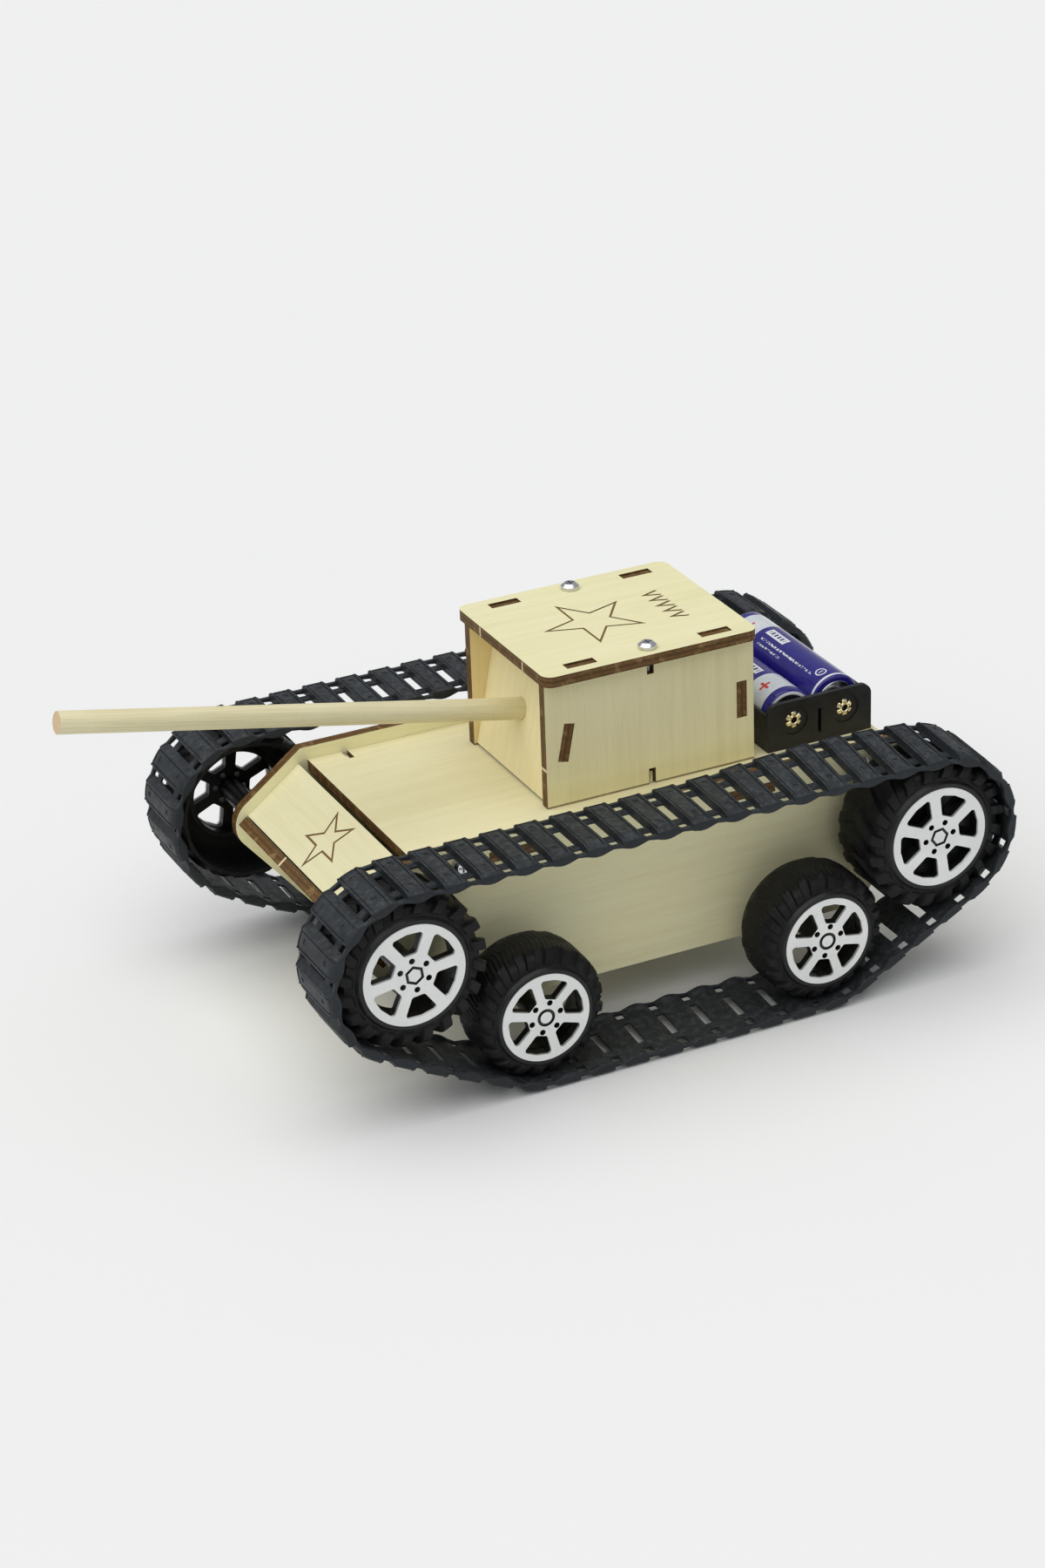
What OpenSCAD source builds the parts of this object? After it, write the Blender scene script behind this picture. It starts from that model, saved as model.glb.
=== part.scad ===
// Tracked toy tank kit: laser-cut plywood hull and turret, rubber tracks,
// four axles with tyred wheels, a geared motor and a two-cell battery holder.
// +X is forward, +Y is the tank's left side, +Z is up. The ground is at z = 0.

/* [Hull] */
// Thickness of every plywood plate
ply = 3; // [2.5:0.1:3.2]
// Half of the clear width between the two side plates
hull_half = 35.7; // [33:0.1:36]
// Height of the deck's top face above the ground
deck_z = 58.5; // [57:0.1:59]
// How far the side plates stand above the deck
rail_h = 3.8; // [2:0.1:5]
// Gap left round every tab in its slot
slip = 0.05; // [0.03:0.01:0.1]

/* [Wheels] */
// Front axle's distance ahead of the origin
front_x = 54.9; // [53:0.1:56]
// Rear axle's place along X
rear_x = -98.3; // [-99:0.1:-97]
// Height of the front and rear axles
big_axle_z = 43.2; // [43:0.1:44]
// Front road axle's place along X
road_front_x = 18.9; // [17:0.1:20]
// Rear road axle's place along X
road_rear_x = -64.1; // [-66:0.1:-62]
// Height of the road axles
road_axle_z = 21; // [21:0.1:21.5]
// Tyre radius on the front and rear axles
big_tyre_r = 21.2; // [20:0.1:21.2]
// Tyre radius on the road axles
road_tyre_r = 18.2; // [17:0.1:18.2]
// Radius of the white wheel caps on the front and rear axles
big_cap_r = 14.1; // [13:0.1:14.5]
// Radius of the white wheel caps on the road axles
road_cap_r = 12.4; // [11.8:0.1:12.8]
// Distance from the middle plane to the outside of a wheel cap
wheel_face_y = 62.8; // [62:0.1:63]
// Radius of the steel axles
axle_r = 1; // [0.9:0.05:1]

/* [Tracks] */
// Inner edge of each track belt, from the middle plane
track_in_y = 41.6; // [41.4:0.1:42]
// Width of each track
track_w = 22.6; // [20:0.1:24]
// Gap between a tyre and the belt
belt_gap = 0.35; // [0.3:0.05:0.4]
// Thickness of the belt
belt_t = 1.15; // [1:0.05:1.2]
// Height of the tread pads on the belt
pad_h = 1.3; // [1:0.05:1.3]
// Length of one tread pad along the belt
pad_len = 6; // [4:0.1:7]
// Number of tread pads on one track
pad_count = 46; // [40:1:50]
// Place of a pad on the lower run, ahead of that run's middle
pad_offset = -4.2; // [-4.9:0.1:4.9]

/* [Turret] */
// Length of the turret's side plates
turret_len = 61.7; // [60:0.1:62]
// Height of the turret's side plates
turret_h = 36; // [35.5:0.1:36]
// Distance from the middle plane to a turret side plate's outside
turret_half = 24; // [23.5:0.1:24]
// How far the turret's top plate stands out past each side plate
top_overhang = 3; // [2:0.1:3]
// Backward lean of the turret's front plate and rise of the barrel
lean = 11.6; // [11:0.1:12]
// Radius of the wooden barrel
barrel_r = 3; // [2.5:0.1:3]

/* [Battery] */
// Radius of one battery cell
cell_r = 7.25; // [7:0.05:7.25]
// Length of one battery cell without its button
cell_len = 49.5; // [48:0.1:49.5]
// Distance between the two cells' axes
cell_pitch = 15.7; // [15.4:0.1:15.8]
// Length of the battery holder
holder_len = 57.5; // [57:0.1:58]
// Width of the battery holder
holder_w = 32; // [31.8:0.1:32.2]
// Height of the battery holder's end walls
holder_h = 13.7; // [13:0.1:14]

/* [Drive] */
// Module of the gears
gear_m = 0.5; // [0.45:0.05:0.5]
// Teeth on each large gear
big_teeth = 20; // [20:4:20]
// Teeth on each pinion
small_teeth = 8; // [8:4:8]

/* [Hidden] */
$fn = 64;

wood = [0.87, 0.82, 0.66];
rubber = [0.15, 0.16, 0.18];
black_plastic = [0.1, 0.1, 0.1];
white_plastic = [0.88, 0.89, 0.88];
steel = [0.7, 0.71, 0.73];

// Side outline of the hull as circles that the edge wraps round: x, z, radius
edge_r = 1;
nose_r = 8;
tail_r = 11;
keel_z = 14.8;
keel_r = 2;
rail_z = deck_z + rail_h;
hull_outline = [[40.9, keel_z + keel_r, keel_r], [front_x, big_axle_z, nose_r],
    [42.6, rail_z - edge_r, edge_r], [-103.2, rail_z - edge_r, edge_r],
    [rear_x, big_axle_z, tail_r], [-86.4, keel_z + keel_r, keel_r]];
front_centre = [front_x, big_axle_z];
rear_centre = [rear_x, big_axle_z];
glacis_turn = wrap_angle(hull_outline[1], hull_outline[2]);
nose_turn = wrap_angle(hull_outline[0], hull_outline[1]);
tail_up_turn = wrap_angle(hull_outline[3], hull_outline[4]);
tail_low_turn = wrap_angle(hull_outline[4], hull_outline[5]);
front_recess = 3;
tail_recess = 2;
glacis_span = [-1.7, 17.8];
nose_span = [-16.5, 5.2];
tail_up_span = [-9.9, 3.3];
tail_low_span = [-3.3, 13.2];
plate_gap = 0.05;
deck_span = [-101.6, 40.9];
belly_top = 27;
belly_span = [-91.5, 46];
hull_side_y = hull_half + ply;

// Where tabs pass through the side plates, along X for flat plates
deck_tabs = [[8, 22], [-62, -48]];
belly_tabs = [[10, 24], [-72, -58]];
slope_tab = 6;

// Turret places
turret_x = -2.1;
turret_rear_x = turret_x - turret_len;
turret_mid_y = turret_half - ply / 2;
turret_tabs = [[-17.7, -9.1], [-57.5, -48.6]];
turret_top_z = deck_z + turret_h;
top_half = turret_half + top_overhang;
top_span = [turret_rear_x - 0.2, turret_x + 1];
plate_tab_z = [13.1, 23.6];
front_face_x = turret_x - 0.7;
rear_plate_x = turret_x - 59.6;
screw_x = turret_x - 31;
turret_star = [turret_x - 26.4, 14.5];
mark_x = turret_x - 48;
barrel_base = [turret_x - 6, deck_z + 18.2];
barrel_inside = 19;
track_end_x = rear_x - big_tyre_r - belt_gap - belt_t - pad_h;
barrel_out = (-track_end_x - barrel_r * sin(lean) - barrel_base.x) / cos(lean);

// Screws
screw_r = 0.95;
screw_slot = 2;
head_r = 2.5;
head_h = 1.7;
hull_screw_x = [30.2, -88];
hull_screw_len = 7.6;
turret_screw_len = 6.6;

// Wheels: distances from the middle plane
tyre_in_y = [44, 46];
tyre_out_y = 62.2;
rim_in_y = 56;
tyre_wall = 2.6;
cap_t = 0.8;
cap_back_y = wheel_face_y - cap_t;
web_t = 2;
rim_wall = 1.4;
seat_gap = 0.02;
boss_r = 3.1;
boss_in_y = 40.6;
axle_half = cap_back_y - 0.3;
bush_r = 2.4;
bush_flange_r = 4;
bush_flange_t = 1;
running_gap = 0.05;
spokes = 6;
lug_hole_r = 0.8;
lug_circle_r = 4.2;
// How far each axle's left and right wheel are turned: angle from +X up to a cap window
front_turn = [22.6, 6.5];
rear_turn = [-7.5, -7.5];
road_front_turn = [45.9, 45.9];
road_rear_turn = [41.6, 41.6];
window_r = 0.9;

// Battery places
holder_x = [turret_x - 98.3, turret_x - 98.3 + holder_w];
holder_near_y = 23.4;
holder_far_y = holder_near_y - holder_len;
holder_wall = 1.4;
side_wall = 0.8;
holder_floor = 1;
cell_mid_x = (holder_x[0] + holder_x[1]) / 2;
cell_x = [cell_mid_x + cell_pitch / 2, cell_mid_x - cell_pitch / 2];
cell_z = deck_z + holder_floor + cell_r + 0.15;
button_r = 2.7;
button_len = 1;
tab_t = 0.4;
spring_step = 0.85;
eyelet_z = deck_z + 8;
long_wall_h = 10.8;
wall_notch = [5.4, 5];

// Drive train, along X at the rear axle's height
gear_step = gear_m * (big_teeth + small_teeth) / 2;
gear_x = [rear_x, rear_x + gear_step, rear_x + 2 * gear_step, rear_x + 3 * gear_step];
layer_t = 3;
layer_step = 3.5;
frame_y = 1;
frame_t = 2;
layer_y = [for (i = [0:2]) frame_y + frame_t + 0.5 + i * layer_step];
frame_far_y = layer_y[2] + layer_t + 0.5;
pin_r = 0.75;
motor_r = 10;
motor_flat = 7.7;
motor_len = 20.4;
end_cap_len = 4.6;
motor_back_y = frame_y - motor_len;
deck_hole = [cell_mid_x, -20, 3];
lead_r = 0.6;

// Angle of the outward normal where a belt leaves circle a for circle b
function wrap_angle(a, b) = atan2(b.y - a.y, b.x - a.x)
    - acos((a.z - b.z) / norm([b.x - a.x, b.y - a.y]));
// Point on circle c at angle t
function on_circle(c, t) = [c.x + c.z * cos(t), c.y + c.z * sin(t)];
// Same circles with every radius changed by d
function grown(c, d) = [for (k = c) [k.x, k.y, k.z + d]];
// Item i of a closed list
function around(c, i) = c[(i + len(c)) % len(c)];

// Area inside a belt that wraps round the circles, given anticlockwise
module wrapped(c) {
    polygon([for (i = [0:len(c) - 1])
        for (t = [wrap_angle(around(c, i - 1), c[i]), wrap_angle(c[i], around(c, i + 1))])
            on_circle(c[i], t)]);
    for (k = c) translate([k.x, k.y]) circle(r = k.z);
}

// Solid between y0 and y1 from an outline drawn in the XZ plane
module across(y0, y1) {
    translate([0, y1, 0]) rotate([90, 0, 0]) linear_extrude(y1 - y0) children();
}

module both_sides() {
    children();
    mirror([0, 1, 0]) children();
}

// Strip that lies along a sloping hull edge: turn is the edge's outward normal
module slope_strip(centre, turn, outside, span, thick = ply) {
    translate(centre) rotate(turn) translate([outside - thick, span[0]]) square([thick, span[1] - span[0]]);
}

// Five-pointed star with one tip along +X
module star(r) {
    polygon([for (i = [0:9]) (i % 2 == 0 ? r : 0.39 * r) * [cos(36 * i), sin(36 * i)]]);
}

// Outline of a star as a groove
module star_line(r, line = 0.65) {
    difference() {
        star(r);
        star(r - 3.1 * line);
    }
}

// Pan-head screw with a cross slot: the head's underside is at z = 0, the shaft runs down
module screw(length) {
    difference() {
        union() {
            cylinder(r = head_r, h = head_h * 0.55);
            translate([0, 0, head_h * 0.55]) cylinder(r1 = head_r, r2 = head_r * 0.62, h = head_h * 0.45);
        }
        for (a = [0, 90]) rotate(a) translate([-1.3, -0.25, head_h - 0.7]) cube([2.6, 0.5, 1]);
    }
    translate([0, 0, -length]) cylinder(r = screw_r, h = length + 0.01);
}

// ---- Hull ----

module side_plate_shape() {
    difference() {
        wrapped(hull_outline);
        for (t = deck_tabs) slot_xz(t, [deck_z - ply, deck_z]);
        for (t = belly_tabs) slot_xz(t, [belly_top - ply, belly_top]);
        slope_slot(front_centre, glacis_turn, nose_r - front_recess, glacis_span);
        slope_slot(front_centre, nose_turn, nose_r - front_recess, nose_span);
        slope_slot(rear_centre, tail_low_turn, tail_r - tail_recess, tail_low_span);
        for (x = hull_screw_x) translate([x, deck_z - ply / 2]) circle(r = screw_r + slip);
        for (p = [[front_x, big_axle_z], [rear_x, big_axle_z], [road_front_x, road_axle_z],
            [road_rear_x, road_axle_z]]) translate(p) circle(r = bush_r + 0.02);
    }
}

module slot_xz(xs, zs) {
    translate([xs[0] - slip, zs[0] - slip]) square([xs[1] - xs[0] + 2 * slip, zs[1] - zs[0] + 2 * slip]);
}

// Middle stretch of a sloping plate, where its tabs are
function tab_span(span) = [span[0] + span[1] - slope_tab, span[0] + span[1] + slope_tab] / 2;

module slope_slot(centre, turn, outside, span) {
    t = tab_span(span);
    slope_strip(centre, turn, outside + slip, [t[0] - slip, t[1] + slip], ply + 2 * slip);
}

module slope_plate(centre, turn, outside, span, tabs = true) {
    half = hull_half - plate_gap;
    across(-half, half) slope_strip(centre, turn, outside, span);
    if (tabs) across(-hull_side_y, hull_side_y) slope_strip(centre, turn, outside, tab_span(span));
}

module side_plate_left() {
    color(wood) across(hull_half, hull_side_y) side_plate_shape();
}

module side_plate_right() {
    color(wood) across(-hull_side_y, -hull_half) side_plate_shape();
}

// Flat plate between the side plates, with tabs through them
module flat_plate(xs, top, tabs) {
    half = hull_half - plate_gap;
    translate([xs[0], -half, top - ply]) cube([xs[1] - xs[0], 2 * half, ply]);
    for (t = tabs) translate([t[0], -hull_side_y, top - ply]) cube([t[1] - t[0], 2 * hull_side_y, ply]);
}

module deck_plate() {
    color(wood) difference() {
        flat_plate(deck_span, deck_z, deck_tabs);
        both_sides() for (t = turret_tabs)
            translate([t[0] - slip, turret_half - ply - slip, deck_z - ply - 1])
                cube([t[1] - t[0] + 2 * slip, ply + 2 * slip, ply + 2]);
        both_sides() for (x = hull_screw_x)
            translate([x - screw_slot / 2, hull_half - 5, deck_z - ply - 1]) cube([screw_slot, 6, ply + 2]);
        both_sides() translate([screw_x, turret_mid_y, deck_z - ply - 1]) cylinder(r = screw_r + slip, h = ply + 2);
        translate([deck_hole.x, deck_hole.y, deck_z - ply - 1]) cylinder(r = deck_hole.z, h = ply + 2);
    }
}

module glacis_plate() {
    outside = nose_r - front_recess;
    color(wood) difference() {
        slope_plate(front_centre, glacis_turn, outside, glacis_span);
        translate([front_x, 0, big_axle_z]) rotate([0, -glacis_turn, 0])
            translate([outside - 0.2, 0, glacis_span[1] - 9.4]) rotate([0, 90, 0]) linear_extrude(1) star_line(9.7);
    }
}

module nose_plate() {
    color(wood) slope_plate(front_centre, nose_turn, nose_r - front_recess, nose_span);
}

module belly_plate() {
    color(wood) difference() {
        flat_plate(belly_span, belly_top, belly_tabs);
        for (p = frame_screws) translate([p.x, p.y, belly_top - ply - 1]) cylinder(r = screw_r + slip, h = ply + 2);
    }
}

module tail_plate_upper() {
    color(wood) difference() {
        slope_plate(rear_centre, tail_up_turn, tail_r - tail_recess, tail_up_span, false);
        at_switch() translate([-4.1 - slip, -2.1 - slip, -ply - 1]) cube([8.2 + 2 * slip, 4.2 + 2 * slip, ply + 2]);
    }
}

module tail_plate_lower() {
    color(wood) slope_plate(rear_centre, tail_low_turn, tail_r - tail_recess, tail_low_span);
}

module hull_screws() {
    color(steel) both_sides() for (x = hull_screw_x)
        translate([x, hull_side_y + 0.02, deck_z - ply / 2]) rotate([-90, 0, 0]) screw(hull_screw_len);
}

// ---- Turret ----

module turret_side() {
    across(turret_half - ply, turret_half) difference() {
        union() {
            translate([turret_rear_x, deck_z]) square([turret_len, turret_h]);
            for (t = turret_tabs) translate([t[0], deck_z - ply]) square([t[1] - t[0], turret_h + 2 * ply - 0.6]);
        }
        translate([screw_x - screw_slot / 2, deck_z - 1]) square([screw_slot, 5.6]);
        translate([screw_x - screw_slot / 2, turret_top_z - 4]) square([screw_slot, 5]);
        front_plate_strip(plate_tab_z, slip);
        translate([rear_plate_x - slip, deck_z + plate_tab_z[0] - slip])
            square([ply + 2 * slip, plate_tab_z[1] - plate_tab_z[0] + 2 * slip]);
    }
}

// The leaning front plate's section between two heights above the deck
module front_plate_strip(zs, extra = 0) {
    translate([front_face_x, deck_z]) rotate(lean)
        translate([-ply - extra, zs[0] / cos(lean) - extra])
            square([ply + 2 * extra, (zs[1] - zs[0]) / cos(lean) + 2 * extra]);
}

module turret_side_left() {
    color(wood) turret_side();
}

module turret_side_right() {
    color(wood) mirror([0, 1, 0]) turret_side();
}

module turret_front() {
    half = turret_half - ply - plate_gap;
    color(wood) difference() {
        union() {
            across(-half, half) front_plate_strip([0.7, turret_h - 0.1]);
            across(-turret_half, turret_half) front_plate_strip(plate_tab_z);
        }
        along_barrel() translate([0, 0, -barrel_inside]) cylinder(r = barrel_r + slip, h = 40);
    }
}

module turret_rear() {
    half = turret_half - ply - plate_gap;
    color(wood) across(-half, half) translate([rear_plate_x, deck_z + 0.05]) square([ply, turret_h - 0.1]);
    color(wood) across(-turret_half, turret_half)
        translate([rear_plate_x, deck_z + plate_tab_z[0]]) square([ply, plate_tab_z[1] - plate_tab_z[0]]);
}

module turret_top() {
    corner = 3;
    color(wood) difference() {
        translate([0, 0, turret_top_z]) linear_extrude(ply) wrapped([
            [top_span[0] + corner, -top_half + corner, corner], [top_span[1] - corner, -top_half + corner, corner],
            [top_span[1] - corner, top_half - corner, corner], [top_span[0] + corner, top_half - corner, corner]]);
        both_sides() for (t = turret_tabs)
            translate([t[0] - slip, turret_half - ply - slip, turret_top_z - 1])
                cube([t[1] - t[0] + 2 * slip, ply + 2 * slip, ply + 2]);
        both_sides() translate([screw_x, turret_mid_y, turret_top_z - 1]) cylinder(r = screw_r + slip, h = ply + 2);
        translate([turret_star[0], 0, turret_top_z + ply - 0.2]) linear_extrude(1) star_line(turret_star[1]);
        for (y = [-8:4:8]) translate([mark_x, y, turret_top_z + ply - 0.2]) linear_extrude(1) chevron();
    }
}

// Generic engraved arrowhead
module chevron() {
    polygon([[3, 0], [-2, 1.8], [-2.7, 1.25], [0.9, 0], [-2.7, -1.25], [-2, -1.8]]);
}

module turret_screws() {
    color(steel) both_sides() {
        translate([screw_x, turret_mid_y, turret_top_z + ply + 0.02]) screw(turret_screw_len);
        translate([screw_x, turret_mid_y, deck_z - ply - 0.02]) rotate([180, 0, 0]) screw(turret_screw_len);
    }
}

module along_barrel() {
    translate([barrel_base.x, 0, barrel_base.y]) rotate([0, 90 - lean, 0]) children();
}

module barrel() {
    color(wood) along_barrel() translate([0, 0, -barrel_inside]) cylinder(r = barrel_r, h = barrel_inside + barrel_out);
}

// ---- Tracks ----

track_circles = [[road_rear_x, road_axle_z, road_tyre_r + belt_gap], [road_front_x, road_axle_z, road_tyre_r + belt_gap],
    [front_x, big_axle_z, big_tyre_r + belt_gap], [rear_x, big_axle_z, big_tyre_r + belt_gap]];
belt_circles = grown(track_circles, belt_t);
// Outward normals at the start and the end of each arc, anticlockwise
arc_start = [for (i = [0:3]) wrap_angle(around(belt_circles, i - 1), belt_circles[i])];
arc_sweep = [for (i = [0:3])
    (wrap_angle(belt_circles[i], around(belt_circles, i + 1)) - arc_start[i] + 720) % 360];
run_len = [for (i = [0:3])
    norm(on_circle(around(belt_circles, i + 1), arc_start[(i + 1) % 4])
        - on_circle(belt_circles[i], arc_start[i] + arc_sweep[i]))];
arc_len = [for (i = [0:3]) belt_circles[i].z * arc_sweep[i] * PI / 180];
belt_len = run_len[0] + run_len[1] + run_len[2] + run_len[3] + arc_len[0] + arc_len[1] + arc_len[2] + arc_len[3];

// Place on the belt's outside at distance s past the start of arc i: x, z, normal angle
function belt_place(s, i = 0) = s < arc_len[i]
    ? place_at(i, arc_start[i] + s / belt_circles[i].z * 180 / PI, 0)
    : s < arc_len[i] + run_len[i]
        ? place_at(i, arc_start[i] + arc_sweep[i], s - arc_len[i])
        : belt_place(s - arc_len[i] - run_len[i], (i + 1) % 4);
function place_at(i, t, run) = let (p = on_circle(belt_circles[i], t)) [p.x - run * sin(t), p.y + run * cos(t), t];

// Which arc holds distance s, or -1 for a straight run
function arc_at(s, i = 0) = s < arc_len[i]
    ? i
    : s < arc_len[i] + run_len[i] ? -1 : arc_at(s - arc_len[i] - run_len[i], (i + 1) % 4);

// Tread pad at distance s: flat on a straight run, rounded with the belt on an arc
module pad(s) {
    i = arc_at(s);
    if (i < 0) pad_block(s, pad_h);
    else intersection() {
        pad_block(s, pad_h + 1);
        translate([belt_circles[i].x, belt_circles[i].y]) circle(r = belt_circles[i].z + pad_h);
    }
}

module pad_block(s, height) {
    p = belt_place(s);
    translate([p.x, p.y]) rotate(p.z) translate([-0.6, -pad_len / 2]) square([0.6 + height, pad_len]);
}

module track_section() {
    difference() {
        union() {
            wrapped(belt_circles);
            for (k = [0:pad_count - 1])
                pad((arc_len[0] + run_len[0] / 2 + pad_offset + k * belt_len / pad_count) % belt_len);
        }
        wrapped(track_circles);
    }
}

module track() {
    across(track_in_y, track_in_y + track_w) track_section();
}

module track_left() {
    color(rubber) track();
}

module track_right() {
    color(rubber) mirror([0, 1, 0]) track();
}

// ---- Wheels and axles ----

module axle_bushes() {
    color(white_plastic) both_sides() for (p = [[front_x, big_axle_z], [rear_x, big_axle_z],
        [road_front_x, road_axle_z], [road_rear_x, road_axle_z]])
        translate([p.x, 0, p.y]) rotate([-90, 0, 0]) difference() {
            union() {
                translate([0, 0, hull_half]) cylinder(r = bush_r, h = ply + 0.5);
                translate([0, 0, hull_side_y + 0.02]) cylinder(r = bush_flange_r, h = bush_flange_t);
            }
            translate([0, 0, hull_half - 1]) cylinder(r = axle_r + running_gap, h = ply + 4);
        }
}

module at_axle(x, z) {
    translate([x, 0, z]) rotate([-90, 0, 0]) children();
}

module axle(x, z) {
    color(steel) at_axle(x, z) translate([0, 0, -axle_half]) cylinder(r = axle_r, h = 2 * axle_half);
}

// Tyre as a turned ring, hollow on its inner side, which starts at in_y: r is the tread radius, cap_r the cap's
// radius, round the shoulder's size
module tyre(x, z, r, cap_r, round, in_y) {
    seat = cap_r - 0.5;
    lip = cap_r + 0.05;
    color(black_plastic) at_axle(x, z) rotate_extrude() polygon([
        [seat, rim_in_y], [r - tyre_wall - 1, rim_in_y], [r - tyre_wall, rim_in_y - 2], [r - tyre_wall, in_y],
        [r - 1.5, in_y], [r, in_y + 1.5], [r, tyre_out_y - round],
        [r - round * 0.45, tyre_out_y - round * 0.35], [r - round, tyre_out_y], [lip, tyre_out_y],
        [lip, cap_back_y], [seat, cap_back_y]]);
}

// One window between two spokes
module window(inner, outer) {
    a = 16;
    b = 21;
    wrapped([[inner * cos(a), -inner * sin(a) * 0.62, window_r], [outer * cos(b), -outer * sin(b) * 0.8, window_r],
        [outer * 0.976, 0, window_r], [outer * cos(b), outer * sin(b) * 0.8, window_r],
        [inner * cos(a), inner * sin(a) * 0.62, window_r]]);
}

module windows(r, turn) {
    for (i = [0:spokes - 1]) rotate(i * 360 / spokes - turn) window(0.51 * r, 0.81 * r);
}

module lug_holes(start, depth, turn) {
    for (i = [0:spokes - 1]) rotate(i * 360 / spokes - turn)
        translate([lug_circle_r, 0, start]) cylinder(r = lug_hole_r, h = depth);
}

// Black wheel body: a short barrel under the tyre, a web with windows and a long boss on the axle
module rim(x, z, r, turn) {
    seat = r - 0.5 - seat_gap;
    color(black_plastic) at_axle(x, z) difference() {
        union() {
            translate([0, 0, rim_in_y]) difference() {
                cylinder(r = seat, h = cap_back_y - rim_in_y);
                translate([0, 0, -1]) cylinder(r = seat - rim_wall, h = cap_back_y - rim_in_y - web_t + 1);
            }
            translate([0, 0, boss_in_y]) cylinder(r = boss_r, h = cap_back_y - boss_in_y - 1);
        }
        translate([0, 0, boss_in_y - 1]) cylinder(r = axle_r + 0.01, h = axle_half - boss_in_y + 1.1);
        translate([0, 0, cap_back_y - web_t - 1]) linear_extrude(web_t + 2) windows(r, turn);
        lug_holes(cap_back_y - web_t - 1, web_t + 2, turn);
    }
}

// White spoked cap on the outside of a wheel; sides is 6 for a hexagon mark or 64 for a ring
module cap(x, z, r, sides, turn) {
    mark_r = sides == 6 ? 2.8 : 2.5;
    color(white_plastic) at_axle(x, z) difference() {
        translate([0, 0, cap_back_y + seat_gap]) cylinder(r = r, h = cap_t - seat_gap);
        translate([0, 0, cap_back_y - 1]) linear_extrude(cap_t + 2) windows(r, turn);
        lug_holes(cap_back_y - 1, cap_t + 2, turn);
        translate([0, 0, wheel_face_y - 0.5]) rotate(-turn) difference() {
            cylinder(r = mark_r, h = 2, $fn = sides);
            translate([0, 0, -1]) cylinder(r = mark_r - 0.85, h = 4, $fn = sides);
        }
    }
}

// ---- Battery ----

module battery_holder() {
    color(black_plastic) difference() {
        union() {
            translate([holder_x[0], holder_far_y, deck_z + 0.02]) cube([holder_w, holder_len, long_wall_h]);
            both_ends() end_wall();
        }
        translate([holder_x[0] + side_wall, holder_far_y + holder_wall, deck_z + holder_floor])
            cube([holder_w - 2 * side_wall, holder_len - 2 * holder_wall, holder_h]);
        translate([holder_x[0] - 1, (holder_near_y + holder_far_y - wall_notch[0]) / 2,
            deck_z + long_wall_h - wall_notch[1]]) cube([holder_w + 2, wall_notch[0], 10]);
        both_ends() translate([cell_mid_x - 0.5, holder_near_y - holder_wall - 1, deck_z + 2.7])
            cube([1, holder_wall + 2, 7]);
        for (x = cell_x) both_ends() at_end(x) cylinder(r = 1.25, h = 6, center = true);
        for (x = cell_x) both_ends() at_end(x) cylinder(r = 4.2, h = 0.5);
    }
    color(black_plastic) translate([cell_mid_x - 0.4, holder_far_y + holder_wall, deck_z + 0.5])
        cube([0.8, holder_len - 2 * holder_wall, 3.5]);
}

// Repeats what is drawn at the holder's near end at its far end
module both_ends() {
    children();
    translate([0, holder_near_y + holder_far_y, 0]) mirror([0, 1, 0]) children();
}

module end_wall() {
    corner = 3;
    across(holder_near_y - holder_wall, holder_near_y) union() {
        translate([holder_x[0], deck_z + 0.02]) square([holder_w, holder_h - corner]);
        translate([holder_x[0] + corner, deck_z + 0.02]) square([holder_w - 2 * corner, holder_h]);
        for (x = [holder_x[0] + corner, holder_x[1] - corner])
            translate([x, deck_z + 0.02 + holder_h - corner]) circle(r = corner);
    }
}

// Frame on the outside of the holder's near end, with +Z pointing into the wall
module at_end(x) {
    translate([x, holder_near_y, eyelet_z]) rotate([90, 0, 0]) translate([0, 0, -0.1]) children();
}

module battery_eyelets() {
    color([0.8, 0.62, 0.25]) for (x = cell_x) both_ends() translate([x, holder_near_y - 0.4, eyelet_z])
        rotate([90, 0, 0]) difference() {
            union() {
                cylinder(r = 1.2, h = 1);
                translate([0, 0, -0.45]) cylinder(r = 2.3, h = 0.43);
            }
            translate([0, 0, -1]) cylinder(r = 0.6, h = 4);
        }
}

// A flat contact for each button end and a stack of spring rings for each flat end
module battery_springs() {
    color(steel) contact_pair();
    color(steel) translate([2 * cell_mid_x, holder_near_y + holder_far_y, 0]) rotate(180) contact_pair();
}

module contact_pair() {
    inner_y = holder_near_y - holder_wall - 0.05;
    translate([cell_x[0] - 4, inner_y - tab_t, cell_z - 5]) cube([8, tab_t, 9]);
    translate([cell_x[1] - 4, inner_y - tab_t, cell_z - 5]) cube([8, tab_t, 9]);
    for (i = [0:2]) translate([cell_x[1], inner_y - tab_t - spring_step * i, cell_z]) rotate([90, 0, 0])
        rotate_extrude() translate([3.4 - 0.3 * i, 0.4]) circle(r = 0.5);
}

// Cell with its flat end at y = 0 and its button end along +Y
module cell() {
    rotate([-90, 0, 0]) {
        cylinder(r = cell_r, h = cell_len);
        cylinder(r = button_r, h = cell_len + button_len);
    }
}

cell_start = holder_near_y - holder_wall - 0.05 - tab_t - 0.1 - button_len - cell_len;

module cell_front() {
    color([0.12, 0.1, 0.45]) translate([cell_x[0], cell_start, cell_z]) cell();
}

module cell_rear() {
    color([0.12, 0.1, 0.45]) translate([cell_x[1], holder_near_y + holder_far_y - cell_start, cell_z])
        rotate(180) cell();
}

// ---- Switch ----

// Frame on the upper tail plate's outside: +Z points out of the tank, +X to its right side
module at_switch() {
    translate([rear_x, 0, big_axle_z]) rotate([0, -tail_up_turn, 0])
        translate([tail_r - tail_recess, 0, -4.4]) rotate([0, 90, 0]) rotate(90) children();
}

switch_depth = 4.6;

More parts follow.
